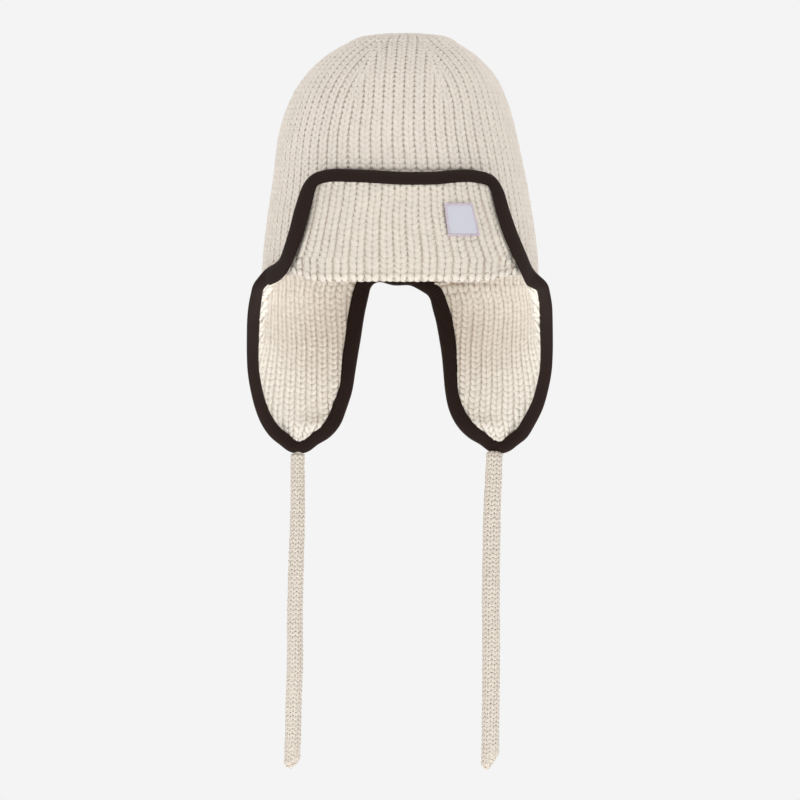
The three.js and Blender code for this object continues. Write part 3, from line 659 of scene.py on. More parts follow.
# Crown: a tube of ribs with gores that lose columns towards the top
def profileRuns():
    rise = np.linspace(rimLift / crownHeight, 1, 900)
    spread = spreadAt(rise) * (halfBreadth + halfDepth) / 2
    steps = np.hypot(np.diff(spread), np.diff(rise) * crownHeight)
    return rise, np.concatenate([[0], np.cumsum(steps)])


profileRise, profileRun = profileRuns()
profileLength = profileRun[-1]


def riseAt(run):
    return np.interp(run, profileRun, profileRise)


def crownSurface(u, v, out):  # u in mm round the rim's oval, v in mm up the profile
    return crownPoint(u / around, riseAt(v), out - 1.0)


def makeCrown():
    columns, rows = crownSizes["ribs"] * 2, 46
    levels = riseAt(np.linspace(0, profileLength, rows + 1)[:-1])
    share = np.arange(columns) / columns
    wave = 0.5 + 0.5 * np.cos(2 * np.pi * share * crownSizes["ribs"])
    outer = [crownPoint(share, rise, -1.05 + 0.45 * (wave - 1)) for rise in levels]
    inner = [crownPoint(share, rise, -fullWall + 0.9 * wave * min(1, float(spreadAt(rise)) * 1.6))
             for rise in levels]
    for ring in (outer[0], inner[0]):
        ring[:, 2] = rimLift + 0.1 - napeSag(share)
    points = np.concatenate(outer + inner + [crownPoint(0.0, 1.0, -1.3)[None], crownPoint(0.0, 1.0, -fullWall)[None]])
    flat = rows * columns
    faces = gridFaces(rows, columns, closed=True) + gridFaces(rows, columns, flat, closed=True, flip=True)
    top, innerTop = (rows - 1) * columns, flat + (rows - 1) * columns
    for c in range(columns):
        d = (c + 1) % columns
        faces.append([top + c, top + d, 2 * flat])
        faces.append([innerTop + d, innerTop + c, 2 * flat + 1])
        faces.append([d, c, flat + c, flat + d])
    cloth = turnOut(newObject("crown_cloth", points, faces))
    dress(cloth, groundClothPaintedShade, "crown")

    gores = crownSizes["gores"]
    perGore = crownSizes["ribs"] // gores
    fullPitch = around / crownSizes["ribs"]
    legs, purls = [], []
    for row in range(int(profileLength / crownSizes["rowPitch"])):
        v = (row + 0.5) * crownSizes["rowPitch"]
        circle = around * float(spreadAt(riseAt(v)))
        topPitch = crownSizes["topPitch"] * min(1.0, (circle / crownSizes["gatherFrom"]) ** 0.6)
        pitch = max(circle / crownSizes["ribs"], min(fullPitch, topPitch))
        halfGore = circle / gores / 2
        narrow, stretch = pitch / fullPitch, around / circle
        columns = (np.arange(perGore) - (perGore - 1) / 2) * pitch
        grooves = (np.arange(perGore + 1) - perGore / 2) * pitch
        grooves = np.concatenate([[-halfGore], grooves[np.abs(grooves) < halfGore - 0.3 * pitch]])
        for gore in range(gores):
            middle = gore / gores * around
            for lean in (-1, 1):
                places = columns + lean * 1.85 * narrow
                places = places[np.abs(places) < halfGore - 0.1 * pitch]
                room = halfGore - (lean * places).max(initial=0)
                if room > 2.9 * narrow:  # half a column beside the gore's seam
                    places = np.append(places, lean * (halfGore - 1.9 * narrow))
                legs.append(np.stack([middle + places * stretch, np.full(len(places), v),
                                      np.full(len(places), narrow), np.full(len(places), lean)]))
            purls.append(np.stack([middle + grooves * stretch, np.full(len(grooves), v),
                                   np.full(len(grooves), narrow)]))
    u, v, narrow, lean = np.concatenate(legs, axis=1)
    u = u + wander(u, v, 5)
    spots = legsOn(crownSurface, u, v, lean * 25, 0.0, 0.05, size=stack(narrow, 1, 1))
    u, v, narrow = np.concatenate(purls, axis=1)
    # sunk groove legs sit lower and get more painted shade, through deep
    sunk = patchy(u, v, 6)
    purlSpots = legsOn(crownSurface, u + wander(u, v, 5), v + crownSizes["rowPitch"] / 2, 90, 0.0,
                       -0.3 - 0.5 * sunk, size=stack(1, narrow, 1), deep=0.15 + 0.75 * sunk)
    made = []
    front = spots["place"][:, 1] < 0
    for name, pick in (("crown_ribs_front", front), ("crown_ribs_back", ~front)):
        part = {key: value[pick] for key, value in spots.items()}
        made.append(growStitches(name, part, vLeg, crownSizes["ribLeg"], crownYarn, 21))
    made.append(growStitches("crown_grooves", purlSpots, purlLeg, crownSizes["grooveLeg"], crownYarn, 23))
    return cloth, made


crownCloth, crownStitches = makeCrown()
# one tube of cloth, narrowed into eight gores and closed at the top
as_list(crownStitches)
print("crown ready")


# Front flap: it comes from under the crown's rim, goes round the fold and stands up in front of the crown
flapSizes = {
    "rise": 81.4,
    "rowPitch": 4.0,
    "ribPitch": 9.05,
    "legShift": 2.0,  # from a rib's middle line to the middle of its legs
    "ribLeg": (4.7, 6.7, 1.7),
    "grooveLeg": (2.9, 4.8, 1.6),
    "fan": 1.6,  # how soon the ribs beside a slanted side lean with it
    "lean": 0.72,  # and how far
    "sideLift": 5.5,
    "leftFoldRise": 8.0,
    "rightFoldRise": 5.0,
}
flapSides = {
    "rise": [1, 0.975, 0.92, 0.84, 0.7, 0.56, 0.415, 0.275, 0.2, 0.135],
    "left": [0.49, 0.592, 0.65, 0.694, 0.732, 0.76, 0.794, 0.83, 0.856, 0.94],
    "right": [0.51, 0.62, 0.696, 0.733, 0.772, 0.808, 0.853, 0.9, 0.926, 0.95],
}
flapSags = {"x": [-80, -52, -25, 5, 25, 45, 80], "sag": [0, 0, 0.9, 2.4, 2.3, 0.7, 0]}  # of its top edge
bandSizes = {
    "width": 9.8,
    "cloth": 1.2,
    "ridgePitch": 1.45,  # the fine ribs lie across the band
    "ridge": 0.2,
}
armWidenings = {  # how much wider the band's front arm lies down the flap's sides, by height
    "z": [0, 6, 12, 30, 46, 58, 66, 72, 80, 90],
    "left": [0.0, 1.0, 4.4, 6.0, 5.6, 5.8, 4.4, 2.6, 0, 0],
    "right": [0.0, 2.6, 6.2, 6.4, 5.4, 4.6, 3.4, 1.4, 0, 0],
}
earArms = {  # and how wide it lies round the ear flaps
    "drop": [0.01, 0.07, 0.14, 0.31, 0.53, 0.64, 0.745, 0.84, 0.925],
    "left front": [7.4, 8.0, 8.6, 8.7, 8.4, 8.6, 8.8, 9.4, 9.8],
    "right front": [8.4, 8.6, 9.0, 9.2, 9.0, 9.2, 9.4, 9.6, 9.8],
    "left back": [11.6, 12.0, 12.2, 12.0, 11.8, 10.6, 11.4, 11.6, 11.0],
    "right back": [8.6, 10.6, 11.8, 12.4, 11.6, 10.4, 11.0, 11.4, 11.0],
}
bandGap = clothHalf + knit["slack"]
bandHalf = bandGap + bandSizes["cloth"]
edgeInset = bandSizes["cloth"] + knit["slack"]
flapStandOff = bandHalf + knit["gap"] * 2
foldMiddle = (flapStandOff - fullWall / 2) / 2
foldRadius = (flapStandOff + fullWall / 2) / 2
foldLevel = foldRadius + fullWall / 2
quarterFold = foldRadius * math.pi / 2


def flapOff(share, z):  # how far the flap's cloth stands off the crown: its sides hang a little free
    aside = ease((np.abs(share) * around - 50) / 42)
    return flapStandOff + flapSizes["sideLift"] * aside * ease((np.asarray(z) - 6) / 26)


def foldRise(share):  # the fold climbs towards the ear flaps
    aside = ease((np.abs(share) * around - 58) / 34)
    return np.where(np.asarray(share) < 0, flapSizes["leftFoldRise"], flapSizes["rightFoldRise"]) * aside


def bandArm(share, z):  # the binding's front arm, which lies wider down the flap's sides
    wider = np.where(np.asarray(share) < 0, readTable(armWidenings, "z", "left", z),
                     readTable(armWidenings, "z", "right", z))
    return bandSizes["width"] + wider * ease((np.abs(share) * around - 48) / 8)


def insideBand(points, arms):  # past(places): how far inside the band's arm they lie, negative under it
    # Right beside the band's outer edge, where a stitch would show through it, the answer is far outside.
    line, length = splineThrough(np.column_stack([points, arms]))
    dense = line(np.linspace(0, length, 400))

    def past(places):
        away = np.linalg.norm(places[:, None] - dense[None, :, :3], axis=2)
        nearest = away.argmin(axis=1)
        away = away[np.arange(len(places)), nearest]
        return np.where(away < 4.6, -99, away - dense[nearest, 3])

    return past


def flapReach(share, rise):  # how far inside the flap's side line a place lies; below 0 is outside
    z = rise * flapSizes["rise"]
    across = np.abs(besideCrown(share, z, flapOff(share, z))[..., 0])
    left = readTable(flapSides, "rise", "left", rise)
    right = readTable(flapSides, "rise", "right", rise)
    return np.where(np.asarray(share) < 0, left, right) * halfBreadth - across


lowestRise = flapSides["rise"][-1]
flapEnds = {
    "left": -shareWhere(lambda a: flapReach(-a, lowestRise), 0, 0.25),
    "right": shareWhere(lambda a: flapReach(a, lowestRise), 0, 0.25),
}


def flapTop(share):  # the outline's height over the fold
    share = np.atleast_1d(np.asarray(share, float))
    rises = np.linspace(1, lowestRise, 240)
    inside = flapReach(share[:, None], rises[None, :]) >= 0
    first = np.where(inside.any(axis=1), inside.argmax(axis=1), len(rises) - 1)
    return rises[first] * flapSizes["rise"] - readTable(flapSags, "x", "sag", share * around)


flapRims = {"share": np.linspace(flapEnds["left"], flapEnds["right"], 400)}
flapRims["top"] = flapTop(flapRims["share"])


def flapSurface(u, v, out):  # u in mm along the oval, v in mm up the cloth from the lowest line of its fold
    share = u / around
    angle = 1.5 * math.pi + v / foldRadius
    onFold = v < quarterFold
    level = np.where(onFold, foldLevel + (foldRadius + out) * np.sin(angle), foldLevel + v - quarterFold)
    away = np.where(onFold, foldMiddle + (foldRadius + out) * np.cos(angle), flapOff(share, level) + out)
    room = np.clip(np.interp(share, flapRims["share"], flapRims["top"]) - foldLevel, 2, 30)
    level = level + foldRise(share) * (1 - ease((level - foldLevel) / room))
    x, y, nx, ny = ovalAt(share)
    spread = spreadAt(np.maximum(level, 0) / crownHeight)
    return stack(x * spread + driftAt(np.maximum(level, 0) / crownHeight) + nx * away, y * spread + ny * away, level)


def sideRun(side, rise):  # the run along the oval at which the flap's side line stands, at each rise
    low, high = np.zeros_like(rise), np.full_like(rise, 0.25)
    sign = -1 if side == "left" else 1
    for _ in range(30):
        middle = (low + high) / 2
        inside = flapReach(sign * middle, rise) > 0
        low, high = np.where(inside, middle, low), np.where(inside, high, middle)
    return low * around


def fanned(u, z):  # where a rib that starts at run u at the flap's top has come to at height z
    rise = np.clip(z / flapSizes["rise"], 0.2, 0.92)
    here = np.where(u < 0, sideRun("left", rise), sideRun("right", rise))
    top = np.where(u < 0, sideRun("left", np.full_like(rise, 0.92)), sideRun("right", np.full_like(rise, 0.92)))
    share = np.clip(np.abs(u) / top, 0, 1.6)
    return u + np.sign(u) * (here - top) * flapSizes["lean"] * share ** flapSizes["fan"]


def makeFlap():
    pitch = flapSizes["ribPitch"]
    shares = np.linspace(flapEnds["left"], flapEnds["right"], 121)
    tops = np.maximum(foldLevel + 1.0, flapTop(shares) - edgeInset * 1.2)
    lowest = -quarterFold * 1.6
    rows = 34
    front, back = [], []
    for t in np.linspace(0, 1, rows):
        v = lowest + (tops - foldLevel + quarterFold - lowest) * t
        wave = 0.5 + 0.5 * np.cos(2 * np.pi * shares * around / pitch)
        front.append(flapSurface(shares * around, v, 0.55 + 0.3 * wave))
        back.append(flapSurface(shares * around, v, -clothHalf - 0.7 * wave))
    cloth = wallFrom("flap_cloth", np.array(front), np.array(back))
    dress(cloth, groundClothPaintedShade, "front_flap")

    limit = flapEnds["right"] * around
    starts = np.arange(-12, 13) * pitch
    runs = np.arange(-quarterFold * 0.9, flapSizes["rise"], flapSizes["rowPitch"])
    u0, v = [a.ravel() for a in np.meshgrid(starts, runs)]
    z = foldLevel + v - quarterFold

    def depthAt(u, v):  # how far inside the outline a place lies
        top = flapTop(u / around)
        slopeTop = np.abs(flapTop((u + 1) / around) - flapTop((u - 1) / around)) / 2
        depth = (top - foldLevel - v + quarterFold) / np.hypot(1, slopeTop)
        return np.where((u > flapEnds["left"] * around + 1) & (u < limit - 1), depth, -1)

    rim = np.linspace(flapEnds["left"], flapEnds["right"], 300)
    rimTop = flapTop(rim)
    pastLine = insideBand(besideCrown(rim, rimTop, flapOff(rim, rimTop)), bandArm(rim, rimTop))

    def past(u, v):
        return np.where(depthAt(u, v) > 0, pastLine(flapSurface(u, v, 0.0)), -99)

    groups = []
    for side in (-1, 1):
        u = fanned(u0, z)
        wide = np.clip((fanned(u0 + pitch / 2, z) - fanned(u0 - pitch / 2, z)) / pitch, 0.9, 1.3)
        clear = past(u + side * flapSizes["legShift"], v)
        inside = clear > -9
        lift = 1.05 + 0.6 * np.exp(-((clear - 0.4) / 1.7) ** 2)  # the stitches beside the band bulge over its edge
        groups.append(legsOn(flapSurface, (u + wander(u, v, 8))[inside], v[inside], side * 26,
                             (side * flapSizes["legShift"] * wide)[inside], lift[inside],
                             size=stack(wide, 1, 1)[inside]))
    ribs = growStitches("flap_ribs", joinSpots(groups), vLeg, flapSizes["ribLeg"], flapYarnPaintedDarker, 31)
    u = fanned(u0 + pitch / 2, z)
    inside = past(u, v + 2) > -8
    # sunk groove legs sit lower and get more painted shade, through deep
    sunk = patchy(u, v, 9)[inside]
    grooves = legsOn(flapSurface, (u + wander(u, v, 8))[inside], v[inside] + 2, 90, 0.0, 0.75 - 0.5 * sunk,
                     deep=0.1 + 0.75 * sunk)
    purls = growStitches("flap_grooves", grooves, purlLeg, flapSizes["grooveLeg"], flapYarnPaintedDarker, 32)
    return cloth, [ribs, purls]


flapCloth, flapStitches = makeFlap()
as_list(flapStitches)
print("front flap ready")

# Ear flaps: each edge of one, level by level
earSizes = {
    "drop": 122.4,
    "ribs": 12,
    "ribPitch": 9.0,
    "legShift": 1.95,
    "ribLeg": (4.7, 6.8, 1.7),
    "grooveLeg": (2.9, 4.2, 1.6),
    "rowPitch": 4.15,
    "tipRound": 18.0,
    "tipOut": 0.725,
    "tipBlunt": 0.8,  # the point hangs this much lower than its rounding
    "hangDrop": 0.4,
}
earDrops = [0.01, 0.1, 0.195, 0.29, 0.385, 0.475, 0.57, 0.665, 0.76, 0.85, 0.925]
earEdges = {
    "front": {
        "drop": earDrops,
        "out": [1.047, 1.076, 1.092, 1.094, 1.092, 1.089, 1.078, 1.055, 1.018, 0.958, 0.88],
        "deep": [-0.4, -0.27, -0.135, -0.03, 0.06, 0.13, 0.19, 0.245, 0.295, 0.345, 0.385],
        "turn": [15, 22, 32, 42, 50, 54, 54, 52, 47, 40, 34],
    },
    "back": {
        "drop": earDrops,
        "out": [0.2, 0.228, 0.253, 0.268, 0.288, 0.305, 0.325, 0.345, 0.382, 0.448, 0.55],
        "deep": [0.963, 0.95, 0.915, 0.87, 0.815, 0.76, 0.71, 0.665, 0.615, 0.56, 0.505],
        "turn": [9, 9, 11, 14, 18, 22, 23, 23, 23, 23, 26],
    },
}
earSteps = [0.01, 0.07, 0.14, 0.22, 0.31, 0.42, 0.53, 0.64, 0.745, 0.84, 0.925]
tipTurns = [48, 24, 0, -24, -48]
napeCorner = {  # how the band turns from an ear flap's back edge into the nape's hem
    "out": [0.194, 0.17, 0.13, 0.066],
    "left sink": [0.55, 0.14, 0, 0],
    "right sink": [None, 0, 0, 0],
}


earShifts = {  # how far the two flaps' edges, in mm outwards, hang off the even shape
    "drop": [0.01, 0.1, 0.2, 0.29, 0.385, 0.475, 0.57, 0.665, 0.76, 0.85, 0.925],
    "left front": [0, 0, 0, 0, 0, 0, 0, 0, 0.7, 1.9, 2.4],
    "left back": [0, 0, 0, 0.2, 0.2, 0.2, 0.2, 0.2, 0.8, -1.2, -2.2],
    "right front": [2.2, 2.2, 1.4, 1.2, 1.2, 1.0, 0.8, 0.4, 0.6, 0.8, 2.6],
    "right back": [0, -0.3, 0.8, 1.6, 1.6, 1.2, 0.2, -0.5, -1.4, -2.0, -2.2],
}


def earEdge(side, drop, edge):
    table = earEdges[edge]
    turn = math.radians(float(readTable(table, "drop", "turn", drop)))
    shift = float(readTable(earShifts, "drop", ("left " if side < 0 else "right ") + edge, drop))
    point = np.array([side * (float(readTable(table, "drop", "out", drop)) * halfBreadth + shift),
                      float(readTable(table, "drop", "deep", drop)) * halfDepth, -drop * earSizes["drop"]])
    across = np.array([-side * math.cos(turn), math.sin(turn), 0])
    arm = float(readTable(earArms, "drop", ("left " if side < 0 else "right ") + edge, drop))
    face = np.array([-side * math.sin(turn), -math.cos(turn), 0])
    return {"point": point, "across": across, "arm": arm, "face": face}


def earTip(side, turn):
    front, back = earEdge(side, earSteps[-1], "front"), earEdge(side, earSteps[-1], "back")
    rounding = earSizes["tipRound"]
    out = earSizes["tipOut"] * halfBreadth + rounding * math.sin(math.radians(turn))
    share = (abs(front["point"][0]) - out) / (abs(front["point"][0]) - abs(back["point"][0]))
    mixed = {key: front[key] + (back[key] - front[key]) * share for key in front}
    mixed["arm"] = 9.6
    blunt = earSizes["tipBlunt"] * float(ease((tipTurns[0] - abs(turn)) / 30))
    mixed["point"] = np.array([side * out, mixed["point"][1],
                               rounding - earSizes["drop"] - rounding * math.cos(math.radians(turn)) - blunt])
    return {key: unit(value) if key in ("across", "face") else value for key, value in mixed.items()}


def bandHalfPath(side):  # stops of the binding from the middle of the front round one side to the nape
    sign = "left" if side < 0 else "right"
    stops = []
    end = abs(flapEnds[sign])
    for share in np.concatenate([np.arange(0, end - 0.002, 1 / 144), [end]]):
        spot = np.array([side * share])
        top = flapTop(spot)
        bend = np.linalg.norm(outward(spot + 0.004, top) - outward(spot - 0.004, top)) / (0.008 * around)
        stops.append({"point": besideCrown(spot, top, flapOff(spot, top))[0], "face": outward(spot, top)[0],
                      "foot": foldLevel + knit["slack"], "arm": float(bandArm(side * share, top)[0]),
                      "bend": bend, "level": unit(np.cross([0, 0, 1], outward(spot, top)[0]))})
    shoulder = stops[-1]
    front = [{**earEdge(side, drop, "front"), "mark": ("front", drop)} for drop in earSteps]
    front[0]["narrow"] = True
    bend, _ = splineThrough([stops[-2]["point"], shoulder["point"], front[0]["point"], front[1]["point"]])
    first = np.linalg.norm(shoulder["point"] - stops[-2]["point"])
    gapLength = np.linalg.norm(front[0]["point"] - shoulder["point"])
    for share in (0.35, 0.8):
        point = bend(np.array([first + gapLength * share]))[0]
        stops.append({"point": point, "face": unit(shoulder["face"] * (1 - share) + front[0]["face"] * share),
                      "foot": foldLevel + knit["slack"],
                      "arm": shoulder["arm"] * (1 - share) ** 2 + front[0]["arm"] * (1 - (1 - share) ** 2)})
    stops += front
    stops += [{**earTip(side, turn), "mark": ("tip", turn)} for turn in tipTurns]
    backs = [{**earEdge(side, drop, "back"), "mark": ("back", drop)} for drop in reversed(earSteps)]
    if side > 0:  # the nape's corner is cut off on a slant here, so the band passes the last stop by
        backs[-1]["inward"] = np.array([1.0, 0.0, 0.0])
    stops += backs
    for out, sink in zip(napeCorner["out"], napeCorner[sign + " sink"]):
        if sink is None:
            continue
        share = side * shareWhere(lambda a: ovalAt(a)[0] - out * halfBreadth, 0.3, 0.5)
        stops.append(napeStop(share, sink, backs[-1]["point"][2]))
    return stops


def napeStop(share, sink=0, lowest=0):  # sink 0 is at the hem's own level, 1 at the lowest one
    spot = np.array([share])
    level = rimLift - edgeInset - napeSag(share)
    level = level + (lowest - level) * sink
    return {"point": besideCrown(spot, level, -knit["relief"] - clothHalf)[0], "face": -outward(spot, rimLift)[0]}


def bandStops():
    right = bandHalfPath(1)
    left = [stop for stop in bandHalfPath(-1) if stop["point"][0] < -0.01]
    stops = [stop for stop in right + [napeStop(0.5)] + left[::-1] if "inward" not in stop]
    for k, stop in enumerate(stops):
        before, after = stops[k - 1]["point"], stops[(k + 1) % len(stops)]["point"]
        along = unit(unit(after - stop["point"]) + unit(stop["point"] - before))
        facing = stop["face"]
        across = stop.get("across")
        if across is not None and abs(across @ along) < 0.8:
            facing = np.cross(across, along)
            facing = facing * np.sign(facing @ stop["face"])
        stop["inward"] = unit(np.cross(along, facing))
        stop["out"] = np.cross(stop["inward"], along)
        if "bend" in stop:  # the arm follows the round of the cloth under it
            stop["curl"] = 0.4 * stop["bend"] * float(stop["inward"] @ stop["level"]) ** 2
    return stops, right, left


bandLine, rightStops, leftStops = bandStops()


def stopAt(side, mark):
    stops = rightStops if side > 0 else leftStops
    return next(stop for stop in stops if stop.get("mark") == mark)


def earTopShares(side):
    end = abs(flapEnds["left" if side < 0 else "right"])
    backOut = earEdges["back"]["out"][0] * halfBreadth
    start = end + (knit["gap"] + knit["slack"]) / around
    return start, shareWhere(lambda a: ovalAt(a)[0] - backOut, 0.3, 0.5) - edgeInset / around


def bezier(points, t):
    a, b, c, d = points
    t = t[:, None]
    return (1 - t) ** 3 * a + 3 * (1 - t) ** 2 * t * b + 3 * (1 - t) * t ** 2 * c + t ** 3 * d


def earRow(side, front, back, drop, steps):
    width = bandSizes["width"]
    most = np.linalg.norm(front["point"] - back["point"]) * 0.36
    strip = min(width + knit["slack"] + clothHalf * 1.8, most)
    start, end = (e["point"] + e["inward"] * edgeInset for e in (front, back))
    in0, in1 = (e["point"] + e["inward"] * strip for e in (front, back))
    chord = in1 - in0
    reach = np.linalg.norm(chord) * 0.36
    chordTurn = math.atan2(chord[1], -side * chord[0])
    backTurn = math.atan2(back["across"][1], -side * back["across"][0])
    frontTurn = 2 * chordTurn - backTurn
    lead = np.array([-side * math.cos(frontTurn), math.sin(frontTurn), 0])
    u = np.arange(steps + 1) / steps
    curve = bezier((in0, in0 + lead * reach, in1 - back["across"] * reach, in1), u)
    low, high = earTopShares(side)
    hang = float(1 - ease(drop / earSizes["hangDrop"]))
    share = side * (low + strip / around + (high - low - 2 * strip / around) * u)
    oval = besideCrown(share, 0.0, -knit["relief"] - clothHalf)
    pull0 = in0 - (oval[0] * hang + in0 * (1 - hang))
    pull1 = in1 - (oval[-1] * hang + in1 * (1 - hang))
    row = oval * hang + curve * (1 - hang) + pull0 * ((1 - u) ** 4)[:, None] + pull1 * (u ** 4)[:, None]
    row[:, 2] = in0[2] + (in1[2] - in0[2]) * u
    return np.concatenate([[start], row, [end]])


def refine(grid, rows, columns):  # a smooth finer grid through a coarse one
    out = []
    for line in grid:
        at, length = splineThrough(line)
        out.append(at(np.linspace(0, length, columns)))
    out = np.array(out)
    finer = []
    for c in range(columns):
        at, length = splineThrough(out[:, c])
        finer.append(at(np.linspace(0, length, rows)))
    return np.array(finer).transpose(1, 0, 2)


def gridSurface(grid):  # grid(r, c) read between its points, with its facing
    up = np.gradient(grid, axis=0)
    side = np.gradient(grid, axis=1)
    facing = unit(np.cross(side, up))

    def at(r, c):
        r = np.clip(r, 0, grid.shape[0] - 1.001)
        c = np.clip(c, 0, grid.shape[1] - 1.001)
        i, j = np.floor(r).astype(int), np.floor(c).astype(int)
        a, b = (r - i)[..., None], (c - j)[..., None]
        mix = lambda g: (g[i, j] * (1 - a) * (1 - b) + g[i + 1, j] * a * (1 - b)
                         + g[i, j + 1] * (1 - a) * b + g[i + 1, j + 1] * a * b)
        return mix(grid), unit(mix(facing))

    return at


def makeEar(word, side, seed):
    steps = earSizes["ribs"] * 2
    low, high = earTopShares(side)
    strip = (bandSizes["width"] + knit["slack"] - edgeInset) / around
    inner = low + strip + (high - low - 2 * strip) * np.arange(steps + 1) / steps
    topShares = side * np.concatenate([[low], inner, [high]])
    topLevel = np.maximum(rimLift - knit["gap"] - napeSag(topShares), -0.8)
    rows = [besideCrown(topShares, topLevel, -knit["relief"] - clothHalf)]
    for drop in earSteps:
        rows.append(earRow(side, stopAt(side, ("front", drop)), stopAt(side, ("back", drop)), drop, steps))
    for turn in tipTurns[:2]:
        rows.append(earRow(side, stopAt(side, ("tip", turn)), stopAt(side, ("tip", -turn)), 1, steps))
    rowCount, columnCount = 60, 61
    grid = refine(np.array(rows), rowCount, columnCount)
    if side > 0:
        grid = grid[:, ::-1]
    grid = grid[::-1]  # rows now run up, columns towards +X, so it faces the front
    at = gridSurface(grid)
    # the arc of every place from the rib that ends at the point
    arcs = np.cumsum(np.linalg.norm(np.diff(grid, axis=1), axis=2), axis=1)
    arcs = np.concatenate([np.zeros((rowCount, 1)), arcs], axis=1)
    tipX = side * earSizes["tipOut"] * halfBreadth
    for r in range(rowCount):
        arcs[r] -= np.interp(tipX, grid[r, :, 0], arcs[r])
    even = np.exp(-((np.arange(rowCount)[:, None] - np.arange(rowCount)[None, :]) / 6.0) ** 2 / 2)
    even = even / even.sum(axis=1, keepdims=True)
    centre = np.array([[np.interp(0, arcs[r], grid[r, :, k]) for k in range(3)] for r in range(rowCount)])
    outerRuns = even @ arcs
    innerRuns = even @ (0.5 * arcs + 0.5 * (grid[:, :, 0] - tipX) * 1.18)  # inside, the ribs hang nearly plumb
    heights = np.concatenate([[0], np.cumsum(np.linalg.norm(np.diff(centre, axis=0), axis=1))])

    def columnAt(u, v, arcs):  # grid places of run u from the middle rib and height v over the point
        r = np.interp(v, heights, np.arange(rowCount))
        i = np.clip(np.floor(r).astype(int), 0, rowCount - 2)
        c0, c1 = [np.array([np.interp(a, arcs[k + step], np.arange(columnCount)) for a, k in zip(u, i)])
                  for step in (0, 1)]
        return r, c0 + (c1 - c0) * (r - i)

    def surfaceFor(face, arcs):
        def surface(u, v, out):
            r, c = columnAt(u, v, arcs)
            place, facing = at(r, c)
            return place + facing * (face * np.asarray(out))[..., None]
        return surface

    def mirrored(u, v, out):  # the outer face, seen from outside: its run goes the other way
        return surfaceFor(-1, outerRuns)(-u, v, out)

    place, facing = at(*np.meshgrid(np.arange(rowCount, dtype=float), np.arange(columnCount, dtype=float),
                                    indexing="ij"))
    cloth = wallFrom(f"{word}_ear_cloth", place + facing * 0.75, place - facing * 0.75)
    dress(cloth, groundClothPaintedShade, "ear_flap_" + word)

    pitch, rowPitch = earSizes["ribPitch"], earSizes["rowPitch"]
    columns = np.arange(-20, 21) * pitch
    levels = heights[-1] - 0.8 - rowPitch * np.arange(int((heights[-1] - 3) / rowPitch) + 1)
    u0, v0 = [a.ravel() for a in np.meshgrid(columns, levels)]
    rowAt = np.interp(v0, heights, np.arange(rowCount)).astype(int)
    marked = [stop for stop in (rightStops if side > 0 else leftStops) if "mark" in stop]
    edgeLine = np.array([stop["point"] for stop in marked])
    pastInside = insideBand(edgeLine, [stop["arm"] for stop in marked])
    pastOutside = insideBand(edgeLine, np.full(len(marked), bandSizes["width"]))

    made = []
    for label, surface, sign, pastBand, runs in (("inside", surfaceFor(1, innerRuns), 1, pastInside, innerRuns),
                                                 ("outside", mirrored, -1, pastOutside, outerRuns)):
        left, right = runs[rowAt, 0], runs[rowAt, -1]
        # the inside faces take the yarn copy painted lighter, against the shade inside the ear flaps
        yarn = earYarnPaintedLighter if sign > 0 else crownYarn
        within = lambda u: (u * sign > left) & (u * sign < right)
        groups = []
        for lean in (-1, 1):
            shift = lean * earSizes["legShift"]
            u = u0 + shift
            past = pastBand(surface(u, v0, np.zeros(len(u))))
            inside = within(u) & (past > -6)
            besideBand = 0.4 * np.exp(-((past - 0.4) / 1.7) ** 2)
            underRim = 0.6 * ease((v0 - heights[-1] + 9) / 9)
            lift = 0.95 + (besideBand if sign > 0 else underRim)
            groups.append(legsOn(surface, (u0 + wander(u0, v0, seed) * 0.6)[inside], v0[inside], lean * 25, shift,
                                 lift[inside], fit=True))
        made.append(growStitches(f"{word}_ear_ribs_{label}", joinSpots(groups), vLeg, earSizes["ribLeg"], yarn, seed))
        g, gv = u0 + pitch / 2, v0 + rowPitch / 2
        inside = within(g) & (pastBand(surface(g, gv, np.zeros(len(g)))) > -3) & (gv < heights[-1])
        # sunk groove legs sit lower and get more painted shade, through deep
        sunk = patchy(g, v0, seed + 2)[inside]
        spots = legsOn(surface, (g + wander(g, v0, seed) * 0.6)[inside], gv[inside], 90, 0.0,
                       0.6 - 0.5 * sunk, deep=0.1 + 0.75 * sunk)
        made.append(growStitches(f"{word}_ear_grooves_{label}", spots, purlLeg, earSizes["grooveLeg"], yarn,
                                 seed + 1))
    return cloth, made


leftEar, leftEarStitches = makeEar("left", -1, 41)
rightEar, rightEarStitches = makeEar("right", 1, 43)
for cloth, made in ((leftEar, leftEarStitches), (rightEar, rightEarStitches)):
    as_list(made)
print("ear flaps ready")


